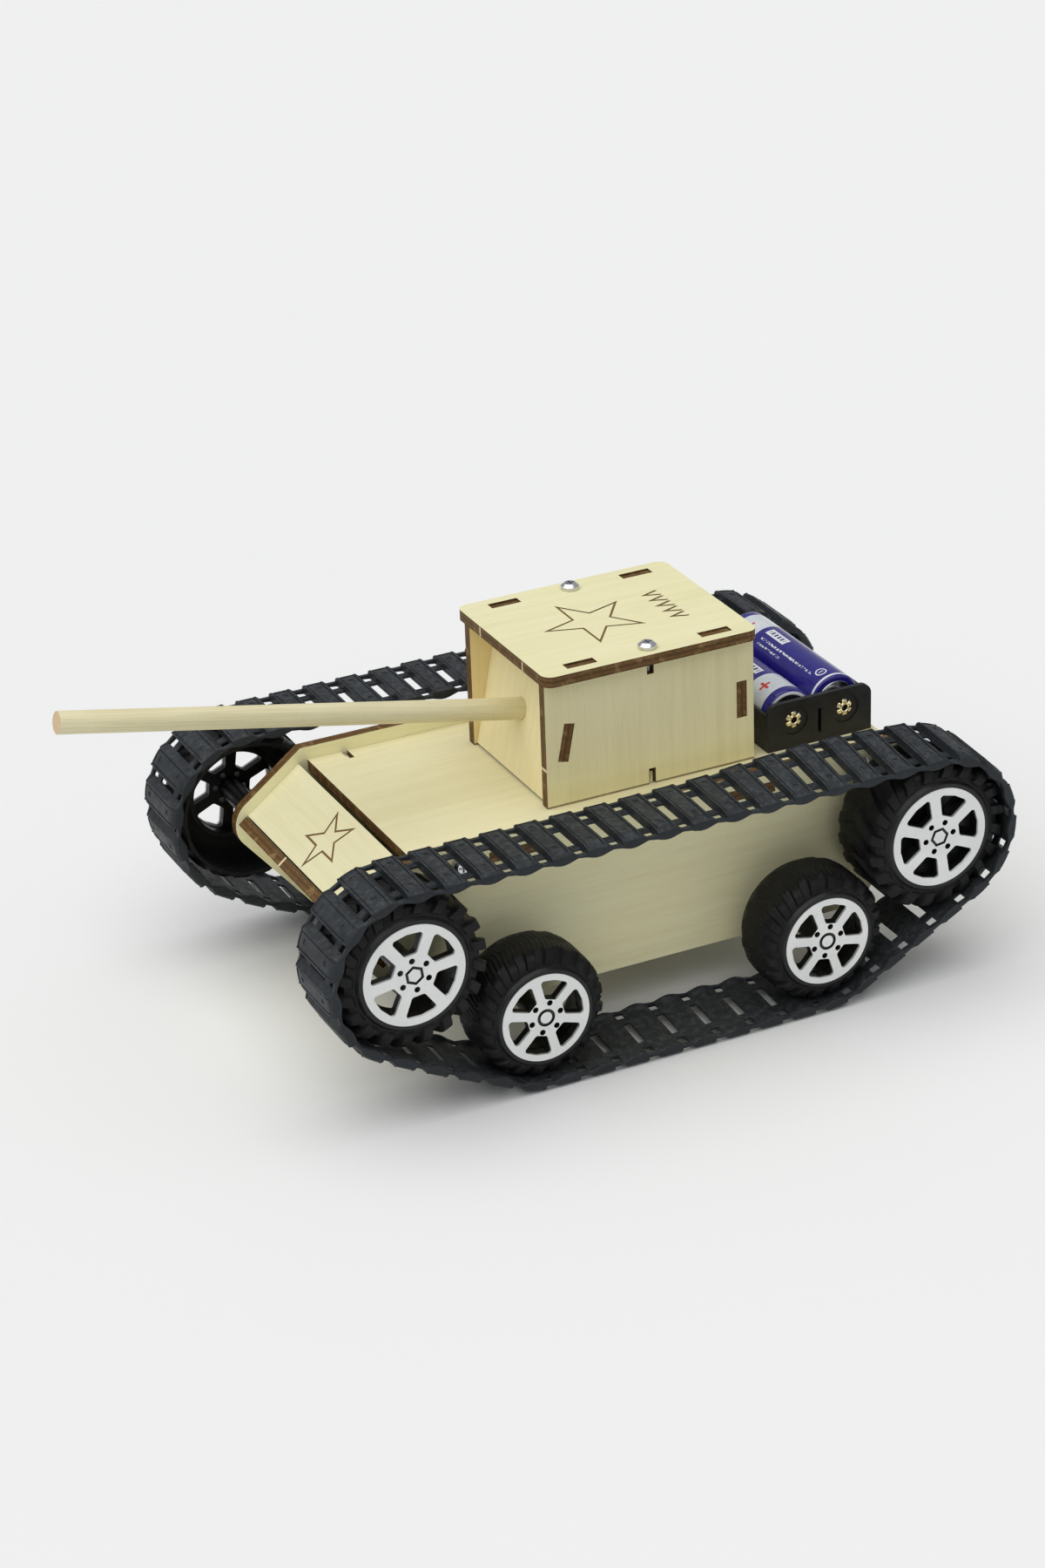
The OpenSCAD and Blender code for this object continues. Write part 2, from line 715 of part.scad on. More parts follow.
module switch_body() {
    color(black_plastic) at_switch() difference() {
        union() {
            translate([-4.1, -2.1, -switch_depth]) cube([8.2, 4.2, switch_depth + 0.05]);
            translate([-6, -3, 0.05]) cube([12, 6, 0.6]);
        }
        translate([-3, -1.1, -1.5]) cube([6, 2.2, 4]);
    }
}

module switch_slider() {
    color(white_plastic) at_switch() {
        translate([-2.9, -1, -1.4]) cube([2.8, 2, 3.6]);
    }
}

// ---- Drive ----

// Toothed disc: straight-sided teeth, one of them centred on angle start
module gear_shape(teeth, start) {
    pitch_r = gear_m * teeth / 2;
    step = 360 / teeth;
    root_r = pitch_r - 1.2 * gear_m;
    tip_r = pitch_r + 0.9 * gear_m;
    circle(r = root_r);
    for (i = [0:teeth - 1]) rotate(start + i * step) polygon([[root_r * 0.8, -gear_m * 0.9],
        [pitch_r - 0.6 * gear_m, -gear_m * 0.86], [pitch_r, -gear_m * 0.66], [tip_r, -gear_m * 0.28],
        [tip_r, gear_m * 0.28], [pitch_r, gear_m * 0.66], [pitch_r - 0.6 * gear_m, gear_m * 0.86],
        [root_r * 0.8, gear_m * 0.9]]);
}

module gear(x, layer, teeth, start, hole) {
    translate([x, layer_y[layer] + layer_t, big_axle_z]) rotate([90, 0, 0]) linear_extrude(layer_t) difference() {
        gear_shape(teeth, start);
        circle(r = hole);
    }
}

half_tooth = 180 / small_teeth;

module axle_gear() {
    color("ivory") gear(gear_x[0], 2, big_teeth, 0, axle_r + 0.01);
}

// Two gears side by side on one pin
module double_gear(x, big_layer) {
    gear(x, big_layer, big_teeth, 0, pin_r - 0.01);
    gear(x, big_layer + 1, small_teeth, half_tooth, pin_r - 0.01);
    translate([x, layer_y[big_layer] + layer_step, big_axle_z]) rotate([90, 0, 0])
        cylinder(r = 1.3, h = layer_step - layer_t);
    translate([x, frame_far_y + 1.5, big_axle_z]) rotate([90, 0, 0])
        cylinder(r = pin_r, h = frame_far_y - frame_y + 0.8);
}

module gear_one() {
    color("ivory") double_gear(gear_x[1], 1);
}

module gear_two() {
    color("ivory") double_gear(gear_x[2], 0);
}

module motor_pinion() {
    color("ivory") gear(gear_x[3], 0, small_teeth, half_tooth, pin_r - 0.01);
    color(steel) translate([gear_x[3], layer_y[0] + layer_t, big_axle_z]) rotate([90, 0, 0])
        cylinder(r = pin_r, h = layer_y[0] + layer_t - motor_back_y - 2);
}

frame_screws = [[-76, frame_y + 7.5], [-70, frame_y + 7.5]];
frame_wall = [[-82, belly_top + 0.1], [-66, belly_top + 0.1], [-66, big_axle_z + 5], [-72, big_axle_z + 7],
    [rear_x, big_axle_z + 4], [rear_x - 3.5, big_axle_z], [rear_x - 1, big_axle_z - 3.5]];
motor_neck_r = 3;

module gearbox_frame() {
    color([0.85, 0.75, 0.3]) difference() {
        union() {
            for (y = [frame_y, frame_far_y]) across(y, y + frame_t) polygon(frame_wall);
            translate([-80, frame_y + 1, belly_top + 0.3]) cube([12, frame_far_y + frame_t - frame_y - 2, 2.2]);
        }
        at_axle(gear_x[0], big_axle_z) cylinder(r = axle_r + 0.3, h = 40);
        for (x = [gear_x[1], gear_x[2]]) translate([x, frame_y + 0.6, big_axle_z]) rotate([-90, 0, 0])
            cylinder(r = pin_r + running_gap, h = frame_far_y + 1 - frame_y);
        at_axle(gear_x[3], big_axle_z) cylinder(r = motor_neck_r + 0.05, h = frame_y + frame_t + 1);
        for (p = frame_screws) translate([p.x, p.y, belly_top]) cylinder(r = screw_r + slip, h = 5);
    }
}

module gearbox_screws() {
    color(steel) for (p = frame_screws) translate([p.x, p.y, belly_top - ply - 0.02]) rotate([180, 0, 0]) screw(5.2);
}

// Motor section: a circle with its top and bottom cut flat
module motor_shape(shrink) {
    intersection() {
        circle(r = motor_r - shrink);
        translate([-motor_r, -motor_flat + shrink]) square([2 * motor_r, 2 * (motor_flat - shrink)]);
    }
}

module motor_can() {
    color(steel) translate([gear_x[3], frame_y - 0.05, big_axle_z]) rotate([90, 0, 0]) difference() {
        union() {
            linear_extrude(motor_len) motor_shape(0);
            translate([0, 0, -1.6]) cylinder(r = motor_neck_r, h = 1.7);
        }
        translate([0, 0, 1]) linear_extrude(motor_len) motor_shape(0.8);
        translate([0, 0, -3]) cylinder(r = pin_r + running_gap, h = 10);
    }
}

module motor_end_cap() {
    color(black_plastic) translate([gear_x[3], motor_back_y - 0.1, big_axle_z]) rotate([90, 0, 0]) {
        linear_extrude(end_cap_len - 2) motor_shape(0);
        translate([0, 0, -1.5]) linear_extrude(2) motor_shape(0.85);
        cylinder(r = 4.5, h = end_cap_len);
        for (x = [-6, 6]) translate([x - 1, -0.25, 0]) cube([2, 0.5, end_cap_len + 1]);
    }
}

// ---- Leads ----

// Tube of radius r along the points, drawn as one closed skin
module tube(points, r, sides = 8) {
    last = len(points) - 1;
    dirs = [for (i = [0:last]) let (d = points[min(i + 1, last)] - points[max(i - 1, 0)]) d / norm(d)];
    skin = [for (i = [0:last]) let (u0 = cross(dirs[i], [1, 1, 1]), u = u0 / norm(u0), v = cross(dirs[i], u))
        for (k = [0:sides - 1]) points[i] + r * (cos(360 * k / sides) * u + sin(360 * k / sides) * v)];
    walls = [for (i = [0:last - 1]) for (k = [0:sides - 1])
        let (a = i * sides + k, b = i * sides + (k + 1) % sides) each [[a, a + sides, b], [b, a + sides, b + sides]]];
    ends = [for (k = [1:sides - 2]) each [[0, k, k + 1], [last * sides, last * sides + k + 1, last * sides + k]]];
    polyhedron(points = skin, faces = concat(walls, ends));
}

red_route = [[-85.3, -20, 58.5], [-85.3, -20, 53], [-88, -18, 50], [-92, -10, 49], [-94, -6, 48.5], [-95, -3, 48.5]];
black_route = [[-83.5, -20, 58.5], [-83.5, -20.5, 54], [-83.5, -24, 52], [-83.4, -27.6, 49], [-83.3, -28, 44.2]];
link_route = [[-71.3, -28, 44.2], [-71.3, -28, 50], [-76, -29, 53], [-88, -26, 53], [-93, -16, 52], [-95, -8, 51.5],
    [-96, 2, 51.5]];

module lead_red() {
    color("firebrick") tube(red_route, lead_r);
}

module lead_black() {
    color([0.08, 0.08, 0.08]) tube(black_route, lead_r);
}

module lead_link() {
    color("firebrick") tube(link_route, lead_r);
}

// ---- Wheel sets ----

module front_axle() axle(front_x, big_axle_z);
module rear_axle() axle(rear_x, big_axle_z);
module road_front_axle() axle(road_front_x, road_axle_z);
module road_rear_axle() axle(road_rear_x, road_axle_z);

module big_tyre(x) tyre(x, big_axle_z, big_tyre_r, big_cap_r, 2, tyre_in_y[0]);
module road_tyre(x) tyre(x, road_axle_z, road_tyre_r, road_cap_r, 4, tyre_in_y[1]);
module big_rims(x, turn) for (i = [0, 1]) mirror([0, i, 0]) rim(x, big_axle_z, big_cap_r, turn[i]);
module road_rims(x, turn) for (i = [0, 1]) mirror([0, i, 0]) rim(x, road_axle_z, road_cap_r, turn[i]);
module big_caps(x, turn) for (i = [0, 1]) mirror([0, i, 0]) cap(x, big_axle_z, big_cap_r, 6, turn[i]);
module road_caps(x, turn) for (i = [0, 1]) mirror([0, i, 0]) cap(x, road_axle_z, road_cap_r, 64, turn[i]);

module front_tyre_left() big_tyre(front_x);
module front_tyre_right() mirror([0, 1, 0]) big_tyre(front_x);
module front_rims() big_rims(front_x, front_turn);
module front_caps() big_caps(front_x, front_turn);
module rear_tyre_left() big_tyre(rear_x);
module rear_tyre_right() mirror([0, 1, 0]) big_tyre(rear_x);
module rear_rims() big_rims(rear_x, rear_turn);
module rear_caps() big_caps(rear_x, rear_turn);
module road_front_tyre_left() road_tyre(road_front_x);
module road_front_tyre_right() mirror([0, 1, 0]) road_tyre(road_front_x);
module road_front_rims() road_rims(road_front_x, road_front_turn);
module road_front_caps() road_caps(road_front_x, road_front_turn);
module road_rear_tyre_left() road_tyre(road_rear_x);
module road_rear_tyre_right() mirror([0, 1, 0]) road_tyre(road_rear_x);
module road_rear_rims() road_rims(road_rear_x, road_rear_turn);
module road_rear_caps() road_caps(road_rear_x, road_rear_turn);

side_plate_left();
side_plate_right();
deck_plate();
glacis_plate();
nose_plate();
belly_plate();
tail_plate_upper();
tail_plate_lower();
turret_side_left();
turret_side_right();
turret_front();
turret_rear();
turret_top();
barrel();
hull_screws();
turret_screws();
axle_bushes();
track_left();
track_right();
battery_holder();
battery_springs();
battery_eyelets();
switch_body();
switch_slider();
gearbox_frame();
gearbox_screws();
motor_can();
motor_end_cap();
lead_red();
lead_black();
lead_link();
cell_front();
cell_rear();
motor_pinion();
gear_one();
gear_two();
axle_gear();
front_axle();
front_tyre_left();
front_tyre_right();
front_rims();
front_caps();
rear_axle();
rear_tyre_left();
rear_tyre_right();
rear_rims();
rear_caps();
road_front_axle();
road_front_tyre_left();
road_front_tyre_right();
road_front_rims();
road_front_caps();
road_rear_axle();
road_rear_tyre_left();
road_rear_tyre_right();
road_rear_rims();
road_rear_caps();
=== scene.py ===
"""Looks of a tracked toy tank kit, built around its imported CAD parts."""

import math

import bmesh
import bpy
import numpy as np
from mathutils import Matrix, Vector


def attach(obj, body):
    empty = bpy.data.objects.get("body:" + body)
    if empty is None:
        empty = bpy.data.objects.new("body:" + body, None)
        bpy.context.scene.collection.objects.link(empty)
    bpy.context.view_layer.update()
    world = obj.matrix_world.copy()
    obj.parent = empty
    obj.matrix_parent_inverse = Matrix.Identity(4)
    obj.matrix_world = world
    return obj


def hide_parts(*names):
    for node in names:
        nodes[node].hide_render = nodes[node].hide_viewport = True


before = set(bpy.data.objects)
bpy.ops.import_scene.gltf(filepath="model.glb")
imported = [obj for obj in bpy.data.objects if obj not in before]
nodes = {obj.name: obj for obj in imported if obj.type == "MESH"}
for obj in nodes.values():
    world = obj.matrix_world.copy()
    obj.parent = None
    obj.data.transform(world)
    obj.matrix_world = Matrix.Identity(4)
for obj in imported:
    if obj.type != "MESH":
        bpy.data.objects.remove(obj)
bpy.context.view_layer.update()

MM = 0.001
HULL = "hull"
SIDES = (("left", 1), ("right", -1))

# Axles: x, z and whether the wheels are big ones
WHEELS = {"front": (54.9, 43.2, True), "rear": (-98.3, 43.2, True), "road_front": (18.9, 21.0, False),
          "road_rear": (-64.1, 21.0, False)}

# ---------------------------------------------------------------- camera and light

LENS_MM = 89.527
SENSOR_MM = 36
CAMERA_RIGHT = (-0.89810549, 0.43847338, -0.03387661)
CAMERA_UP = (-0.22101052, -0.38340294, 0.89674775)
CAMERA_BACK = (0.38021163, 0.81286116, 0.44124352)
CAMERA_PLACE = (0.39095, 0.84913, 0.51568)

camera_data = bpy.data.cameras.new("camera")
camera_data.sensor_fit = "AUTO"
camera_data.sensor_width = SENSOR_MM
camera_data.lens = LENS_MM
camera_data.clip_start = 0.01
camera = bpy.data.objects.new("camera", camera_data)
bpy.context.scene.collection.objects.link(camera)
camera.matrix_world = Matrix([*zip(CAMERA_RIGHT, CAMERA_UP, CAMERA_BACK, CAMERA_PLACE), (0, 0, 0, 1)])
bpy.context.scene.camera = camera
bpy.context.scene.view_settings.view_transform = "Standard"

SUN_ENERGY = 2.12
SUN_ANGLE = 1.5
SUN_COLOUR = (1, 0.995, 0.975)
SUN_DIRECTION = (-0.30, -0.10, -0.95)
ROOM_LIGHT = (0.395, 0.4, 0.415)
ROOM_SEEN = (0.855, 0.855, 0.85)

sun_data = bpy.data.lights.new("softbox", "SUN")
sun_data.energy = SUN_ENERGY
sun_data.angle = SUN_ANGLE
sun_data.color = SUN_COLOUR
sun = bpy.data.objects.new("softbox", sun_data)
bpy.context.scene.collection.objects.link(sun)
sun.rotation_euler = Vector(SUN_DIRECTION).to_track_quat("-Z", "Y").to_euler()

world = bpy.data.worlds.new("pale_room")
world.use_nodes = True
room = world.node_tree
room.nodes.clear()
dim, seen = room.nodes.new("ShaderNodeBackground"), room.nodes.new("ShaderNodeBackground")
dim.inputs["Color"].default_value = (*ROOM_LIGHT, 1)
seen.inputs["Color"].default_value = (*ROOM_SEEN, 1)
pick, room_out = room.nodes.new("ShaderNodeMixShader"), room.nodes.new("ShaderNodeOutputWorld")
room.links.new(room.nodes.new("ShaderNodeLightPath").outputs["Is Camera Ray"], pick.inputs[0])
room.links.new(dim.outputs[0], pick.inputs[1])
room.links.new(seen.outputs[0], pick.inputs[2])
room.links.new(pick.outputs[0], room_out.inputs[0])
bpy.context.scene.world = world

# ---------------------------------------------------------------- material graphs


class Graph:
    """One material's node tree, written as calls that return sockets."""

    def __init__(self, name, **values):
        self.material = bpy.data.materials.new(name)
        self.material.use_nodes = True
        self.tree = self.material.node_tree
        self.tree.nodes.clear()
        out = self.add("ShaderNodeOutputMaterial")
        self.bsdf = self.add("ShaderNodeBsdfPrincipled")
        self.tree.links.new(self.bsdf.outputs[0], out.inputs[0])
        for key, value in values.items():
            self.bsdf.inputs[key.replace("_", " ")].default_value = value

    def add(self, kind, **settings):
        n = self.tree.nodes.new(kind)
        for key, value in settings.items():
            setattr(n, key, value)
        return n

    def put(self, socket, value):
        if isinstance(value, bpy.types.NodeSocket):
            self.tree.links.new(value, socket)
        elif isinstance(value, (tuple, list)) and len(value) == 3 and socket.type == "RGBA":
            socket.default_value = (*value, 1)
        else:
            socket.default_value = value

    def set(self, name, value):
        self.put(self.bsdf.inputs[name], value)

    def math(self, operation, a, b=0.0, c=0.0):
        n = self.add("ShaderNodeMath", operation=operation)
        for i, value in enumerate((a, b, c)):
            self.put(n.inputs[i], value)
        return n.outputs[0]

    def times(self, a, b):
        return self.math("MULTIPLY", a, b)

    def minus(self, a, b):
        return self.math("SUBTRACT", a, b)

    def size(self, a):
        return self.math("ABSOLUTE", a)

    def near(self, value, middle, reach):
        """1 where value is within reach of middle."""
        return self.math("LESS_THAN", self.size(self.minus(value, middle)), reach)

    def distance(self, a, b):
        """Length of a flat vector with the parts a and b."""
        return self.math("SQRT", self.math("ADD", self.times(a, a), self.times(b, b)))

    def vector(self, operation, a, b=(0, 0, 0), scale=None):
        n = self.add("ShaderNodeVectorMath", operation=operation)
        self.put(n.inputs[0], a)
        self.put(n.inputs[1], b)
        if scale is not None:
            self.put(n.inputs["Scale"], scale)
        return n.outputs["Value" if operation in ("DOT_PRODUCT", "LENGTH") else "Vector"]

    def dot(self, a, b):
        return self.vector("DOT_PRODUCT", a, b)

    def in_box(self, where, middle, half):
        """1 inside the box with that middle and those half sizes."""
        gaps = self.split(self.vector("ABSOLUTE", self.vector("SUBTRACT", where, middle)))
        x, y, z = (self.math("DIVIDE", gaps[i], half[i]) for i in range(3))
        return self.math("LESS_THAN", self.math("MAXIMUM", self.math("MAXIMUM", x, y), z), 1.0)

    def point(self):
        """Position in the object, in millimetres."""
        return self.vector("SCALE", self.add("ShaderNodeTexCoord").outputs["Object"], scale=1000.0)

    def normal(self):
        return self.add("ShaderNodeTexCoord").outputs["Normal"]

    def split(self, v):
        n = self.add("ShaderNodeSeparateXYZ")
        self.put(n.inputs[0], v)
        return list(n.outputs)[:3]

    def join(self, x, y, z):
        n = self.add("ShaderNodeCombineXYZ")
        for i, value in enumerate((x, y, z)):
            self.put(n.inputs[i], value)
        return n.outputs[0]

    def noise(self, where, scale, detail=2.0, rough=0.5, warp=0.0):
        n = self.add("ShaderNodeTexNoise")
        self.put(n.inputs["Vector"], where)
        n.inputs["Scale"].default_value = scale
        n.inputs["Detail"].default_value = detail
        n.inputs["Roughness"].default_value = rough
        n.inputs["Distortion"].default_value = warp
        return n.outputs["Fac"]

    def between(self, value, low, high, to_low=0.0, to_high=1.0):
        """Smooth step from to_low at low to to_high at high."""
        n = self.add("ShaderNodeMapRange", interpolation_type="SMOOTHSTEP")
        for i, x in enumerate((value, low, high, to_low, to_high)):
            self.put(n.inputs[i], x)
        return n.outputs[0]

    def mix(self, factor, a, b):
        n = self.add("ShaderNodeMix", data_type="RGBA")
        self.put(n.inputs[0], factor)
        self.put(n.inputs[6], a)
        self.put(n.inputs[7], b)
        return n.outputs[2]

    def bump(self, height, strength, distance_mm):
        n = self.add("ShaderNodeBump")
        n.inputs["Strength"].default_value = strength
        n.inputs["Distance"].default_value = distance_mm * MM
        self.put(n.inputs["Height"], height)
        self.set("Normal", n.outputs[0])


def face_direction(obj):
    """Direction that the largest flat faces of a plate look along."""
    areas = {}
    for p in obj.data.polygons:
        n = p.normal if max(p.normal, key=abs) > 0 else -p.normal
        key = tuple(round(x, 2) for x in n)
        total, _ = areas.get(key, (0, None))
        areas[key] = (total + p.area, Vector(n))
    return max(areas.values(), key=lambda pair: pair[0])[1].normalized()


# Thickness of the light and dark layers in a cut edge, how far below the face a floor counts as engraved, and
# the lightest that a plate's painted light may make the wood
VENEER = 0.75
ENGRAVED = 0.1
BRIGHTEST = 0.9


def plywood(obj, grain, seed, ticks=(), scorched=(), painted_light=(1, 1, 1)):
    """Pale laser-cut plywood: wood on the two faces, burnt brown on every cut edge and engraved line."""

    # The wood colours are scaled per plate by painted light: brighter, darker or warmer by how the plate is lit
    def with_painted_light(*rgb):
        return tuple(min(BRIGHTEST, c * t) for c, t in zip(rgb, painted_light))

    g = Graph("plywood_" + obj.name, Specular_IOR_Level=0.22)
    facing = face_direction(obj)
    along = (Vector(grain) - Vector(grain).dot(facing) * facing).normalized()
    across = facing.cross(along)
    depths = [v.co.dot(facing) / MM for v in obj.data.vertices]
    middle, half = (min(depths) + max(depths)) / 2, (max(depths) - min(depths)) / 2
    p = g.point()
    u, v = g.dot(p, along), g.dot(p, across)
    w = g.minus(g.dot(p, facing), middle)

    # Wood: long fibres and streaks, broad clouds and short dark pores
    sheet = g.join(g.times(u, 0.03), v, g.math("MULTIPLY_ADD", w, 0.3, seed * 7.3))
    fibre = g.noise(sheet, 2.6, 4, 0.6)
    streak = g.noise(sheet, 0.42, 3, 0.55, 0.4)
    cloud = g.noise(g.join(g.times(u, 0.35), v, seed * 3.1), 0.055, 2, 0.5)
    pores = g.noise(g.join(g.times(u, 0.22), v, seed * 5.0), 3.4, 1, 0.5)
    wood = g.mix(g.between(streak, 0.3, 0.72), with_painted_light(0.80, 0.755, 0.48), with_painted_light(0.75, 0.70, 0.43))
    wood = g.mix(g.between(cloud, 0.3, 0.75, 0, 0.45), wood, with_painted_light(0.83, 0.79, 0.54))
    wood = g.mix(g.between(fibre, 0.42, 0.75, 0, 0.25), wood, with_painted_light(0.62, 0.565, 0.33))
    wood = g.mix(g.between(pores, 0.67, 0.78, 0, 0.35), wood, (0.50, 0.42, 0.24))

    # Cut edge: veneers, char, paler spots and the small unburnt bridges
    layer = g.math("PINGPONG", g.math("ADD", w, half), VENEER)
    burnt = g.mix(g.between(layer, 0.1, 0.65), (0.095, 0.050, 0.016), (0.175, 0.095, 0.032))
    char = g.noise(g.join(g.times(w, 1.2), u, v), 0.9, 3, 0.6)
    burnt = g.mix(g.between(char, 0.35, 0.7, 0, 0.75), burnt, (0.085, 0.043, 0.014))
    spots = g.noise(g.join(g.times(w, 0.5), g.times(u, 0.6), v), 0.55, 2, 0.6)
    burnt = g.mix(g.between(spots, 0.52, 0.68, 0, 0.6), burnt, (0.30, 0.185, 0.075))
    for at, reach in ticks:
        burnt = g.mix(g.times(g.in_box(p, at, reach), 0.85), burnt, (0.80, 0.72, 0.5))

    flat = g.between(g.size(g.dot(g.normal(), facing)), 0.72, 0.9)
    top = g.math("GREATER_THAN", g.size(w), half - ENGRAVED)
    burnt = g.mix(g.times(flat, g.minus(1.0, top)), burnt, (0.22, 0.13, 0.045))
    face = g.times(flat, top)
    for at, reach in scorched:
        face = g.times(face, g.minus(1.0, g.times(g.in_box(p, at, reach), 0.75)))
    g.set("Base Color", g.mix(face, burnt, wood))
    g.set("Roughness", g.between(fibre, 0.3, 0.7, 0.5, 0.64))
    g.bump(g.math("ADD", g.times(fibre, 0.6), pores), 0.25, 0.05)
    return g.material


def dowel(obj, axis, seed):
    """Sanded round stick: fine lines along the axis and rings on the sawn end."""
    g = Graph("dowel", Specular_IOR_Level=0.4)
    axis = Vector(axis).normalized()
    side = axis.cross(Vector((0, 1, 0))).normalized()
    p = g.point()
    u = g.dot(p, axis)
    flat = g.vector("SUBTRACT", p, g.vector("SCALE", tuple(axis), scale=u))
    y, z = g.dot(flat, (0, 1, 0)), g.dot(flat, side)
    lines = g.noise(g.join(g.times(u, 0.02), y, z), 1.7, 4, 0.62)
    cloud = g.noise(g.join(g.times(u, 0.3), z, seed), 0.16, 2, 0.5)
    specks = g.noise(p, 2.2, 2, 0.6)
    wood = g.mix(g.between(lines, 0.32, 0.7), (0.76, 0.70, 0.44), (0.64, 0.57, 0.35))
    wood = g.mix(g.between(cloud, 0.35, 0.7, 0, 0.5), wood, (0.79, 0.74, 0.49))
    wood = g.mix(g.between(specks, 0.64, 0.75, 0, 0.4), wood, (0.36, 0.26, 0.13))
    pith = (0.4, 1.1, 0.3)
    rings = g.math("SINE", g.times(g.vector("LENGTH", g.vector("ADD", flat, pith)), 9.0))
    end = g.mix(g.between(rings, -0.6, 0.8), (0.72, 0.56, 0.34), (0.60, 0.43, 0.24))
    end = g.mix(g.between(specks, 0.55, 0.7, 0, 0.6), end, (0.42, 0.29, 0.15))
    cut = g.between(g.size(g.dot(g.normal(), axis)), 0.6, 0.8)
    g.set("Base Color", g.mix(cut, wood, end))
    g.set("Roughness", g.between(lines, 0.3, 0.7, 0.46, 0.6))
    g.bump(lines, 0.3, 0.06)
    return g.material


# Colour of the dust and painted light on faces that look up
DUST_AND_LIGHT_COLOUR = (0.34, 0.36, 0.37)


def moulded(name, light, dark, rough, grain=1.4, dust_and_top_light=0.0, bump=0.25, gloss=0.5):
    """Moulded plastic or rubber: cloudy tone, fine surface grain and, on what looks up, a little dust with
    painted light.
    """
    g = Graph(name, Specular_IOR_Level=gloss)
    p = g.point()
    cloud = g.noise(p, 0.12, 3, 0.6)
    fine = g.noise(p, grain, 3, 0.65)
    tone = g.mix(g.between(cloud, 0.3, 0.7), light, dark)
    lighter = tuple(min(1, c * 1.35 + 0.002) for c in light)
    tone = g.mix(g.between(fine, 0.5, 0.72, 0, 0.5), tone, lighter)
    # Faces that look up get lighter patches: partly dust, partly painted light on the tops
    if dust_and_top_light:
        upward = g.between(g.split(g.normal())[2], 0.2, 1.0)
        dust_and_light_mask = g.times(upward, g.between(g.noise(p, 0.6, 4, 0.7), 0.42, 0.7))
        tone = g.mix(g.times(dust_and_light_mask, dust_and_top_light), tone, DUST_AND_LIGHT_COLOUR)
    g.set("Base Color", tone)
    g.set("Roughness", g.between(g.noise(p, 0.35, 3, 0.6), 0.25, 0.75, rough - 0.09, rough + 0.09))
    g.bump(fine, bump, 0.05)
    return g.material


# Cap: y just inside its outer face, radius of its hub mark, and radius within which its hole walls are shaded
CAP_FACE_Y = 62.68
HUB_R = 5.6
CAP_HOLES_R = 11.8


def wheel_cap(name, x, z):
    """White cap plastic whose hub mark and small holes show the black wheel behind, with painted shade on the
    walls of its holes.
    """
    g = Graph(name, Specular_IOR_Level=0.5)
    p = g.point()
    cloud = g.noise(p, 0.12, 3, 0.6)
    tone = g.mix(g.between(cloud, 0.3, 0.7), (0.80, 0.82, 0.80), (0.745, 0.765, 0.745))
    px, py, pz = g.split(p)
    radius = g.distance(g.minus(px, x), g.minus(pz, z))
    sunk = g.math("LESS_THAN", g.size(py), CAP_FACE_Y)
    walls = g.math("LESS_THAN", g.size(g.split(g.normal())[1]), 0.6)
    hub = g.math("LESS_THAN", radius, HUB_R)
    inked = g.times(hub, g.math("MAXIMUM", sunk, walls))
    shaded = g.times(g.minus(1.0, hub), g.times(walls, g.math("LESS_THAN", radius, CAP_HOLES_R)))
    tone = g.mix(g.times(shaded, 0.55), tone, (0.05, 0.05, 0.05))
    g.set("Base Color", g.mix(inked, tone, (0.012, 0.012, 0.012)))
    g.set("Roughness", g.between(g.noise(p, 0.35, 3, 0.6), 0.25, 0.75, 0.24, 0.4))
    g.bump(g.noise(p, 0.9, 3, 0.65), 0.1, 0.05)
    return g.material


def metal(name, light, dark, rough, stretch=(1, 1, 1), stain=None):
    """Plated or bare metal with fine scratches along one direction and slight tarnish."""
    g = Graph(name, Metallic=1.0)
    p = g.point()
    marks = g.noise(g.vector("MULTIPLY", p, stretch), 3.0, 4, 0.65)
    cloud = g.noise(p, 0.5, 3, 0.6)
    tone = g.mix(g.between(marks, 0.3, 0.7), light, dark)
    tone = g.mix(g.between(cloud, 0.5, 0.75, 0, 0.45), tone, stain or tuple(c * 0.6 for c in dark))
    g.set("Base Color", tone)
    g.set("Roughness", g.between(marks, 0.25, 0.75, rough - 0.07, rough + 0.1))
    g.bump(marks, 0.12, 0.03)
    return g.material


# ---------------------------------------------------------------- mesh helpers


def piece(name, points, faces, materials, body, stands_for=(), which=None, sharp=35):
    """New piece from points in millimetres, riding on a body and standing for CAD nodes; edges that turn by
    more than sharp degrees stay sharp."""
    mesh = bpy.data.meshes.new(name)
    mesh.from_pydata([tuple(float(c) * MM for c in p) for p in points], [], faces)
    for m in materials:
        mesh.materials.append(m)
    if which is not None:
        mesh.polygons.foreach_set("material_index", np.array(which, np.int32))
    bm = bmesh.new()
    bm.from_mesh(mesh)
    bmesh.ops.recalc_face_normals(bm, faces=bm.faces)
    for f in bm.faces:
        f.smooth = True
    limit = math.radians(sharp)
    for e in bm.edges:
        e.smooth = len(e.link_faces) == 2 and e.calc_face_angle(0) < limit
    bm.to_mesh(mesh)
    bm.free()
    obj = bpy.data.objects.new(name, mesh)
    bpy.context.scene.collection.objects.link(obj)
    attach(obj, body)
    if stands_for:
        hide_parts(*stands_for)


def ring_faces(rings, across, closed=True):
    """Quads between neighbouring rings of points; a ring has across points, and the last may join the first."""
    faces = []
    for i in range(rings if closed else rings - 1):
        a, b = i * across, (i + 1) % rings * across
        faces += [(a + j, a + (j + 1) % across, b + (j + 1) % across, b + j) for j in range(across)]
    return faces


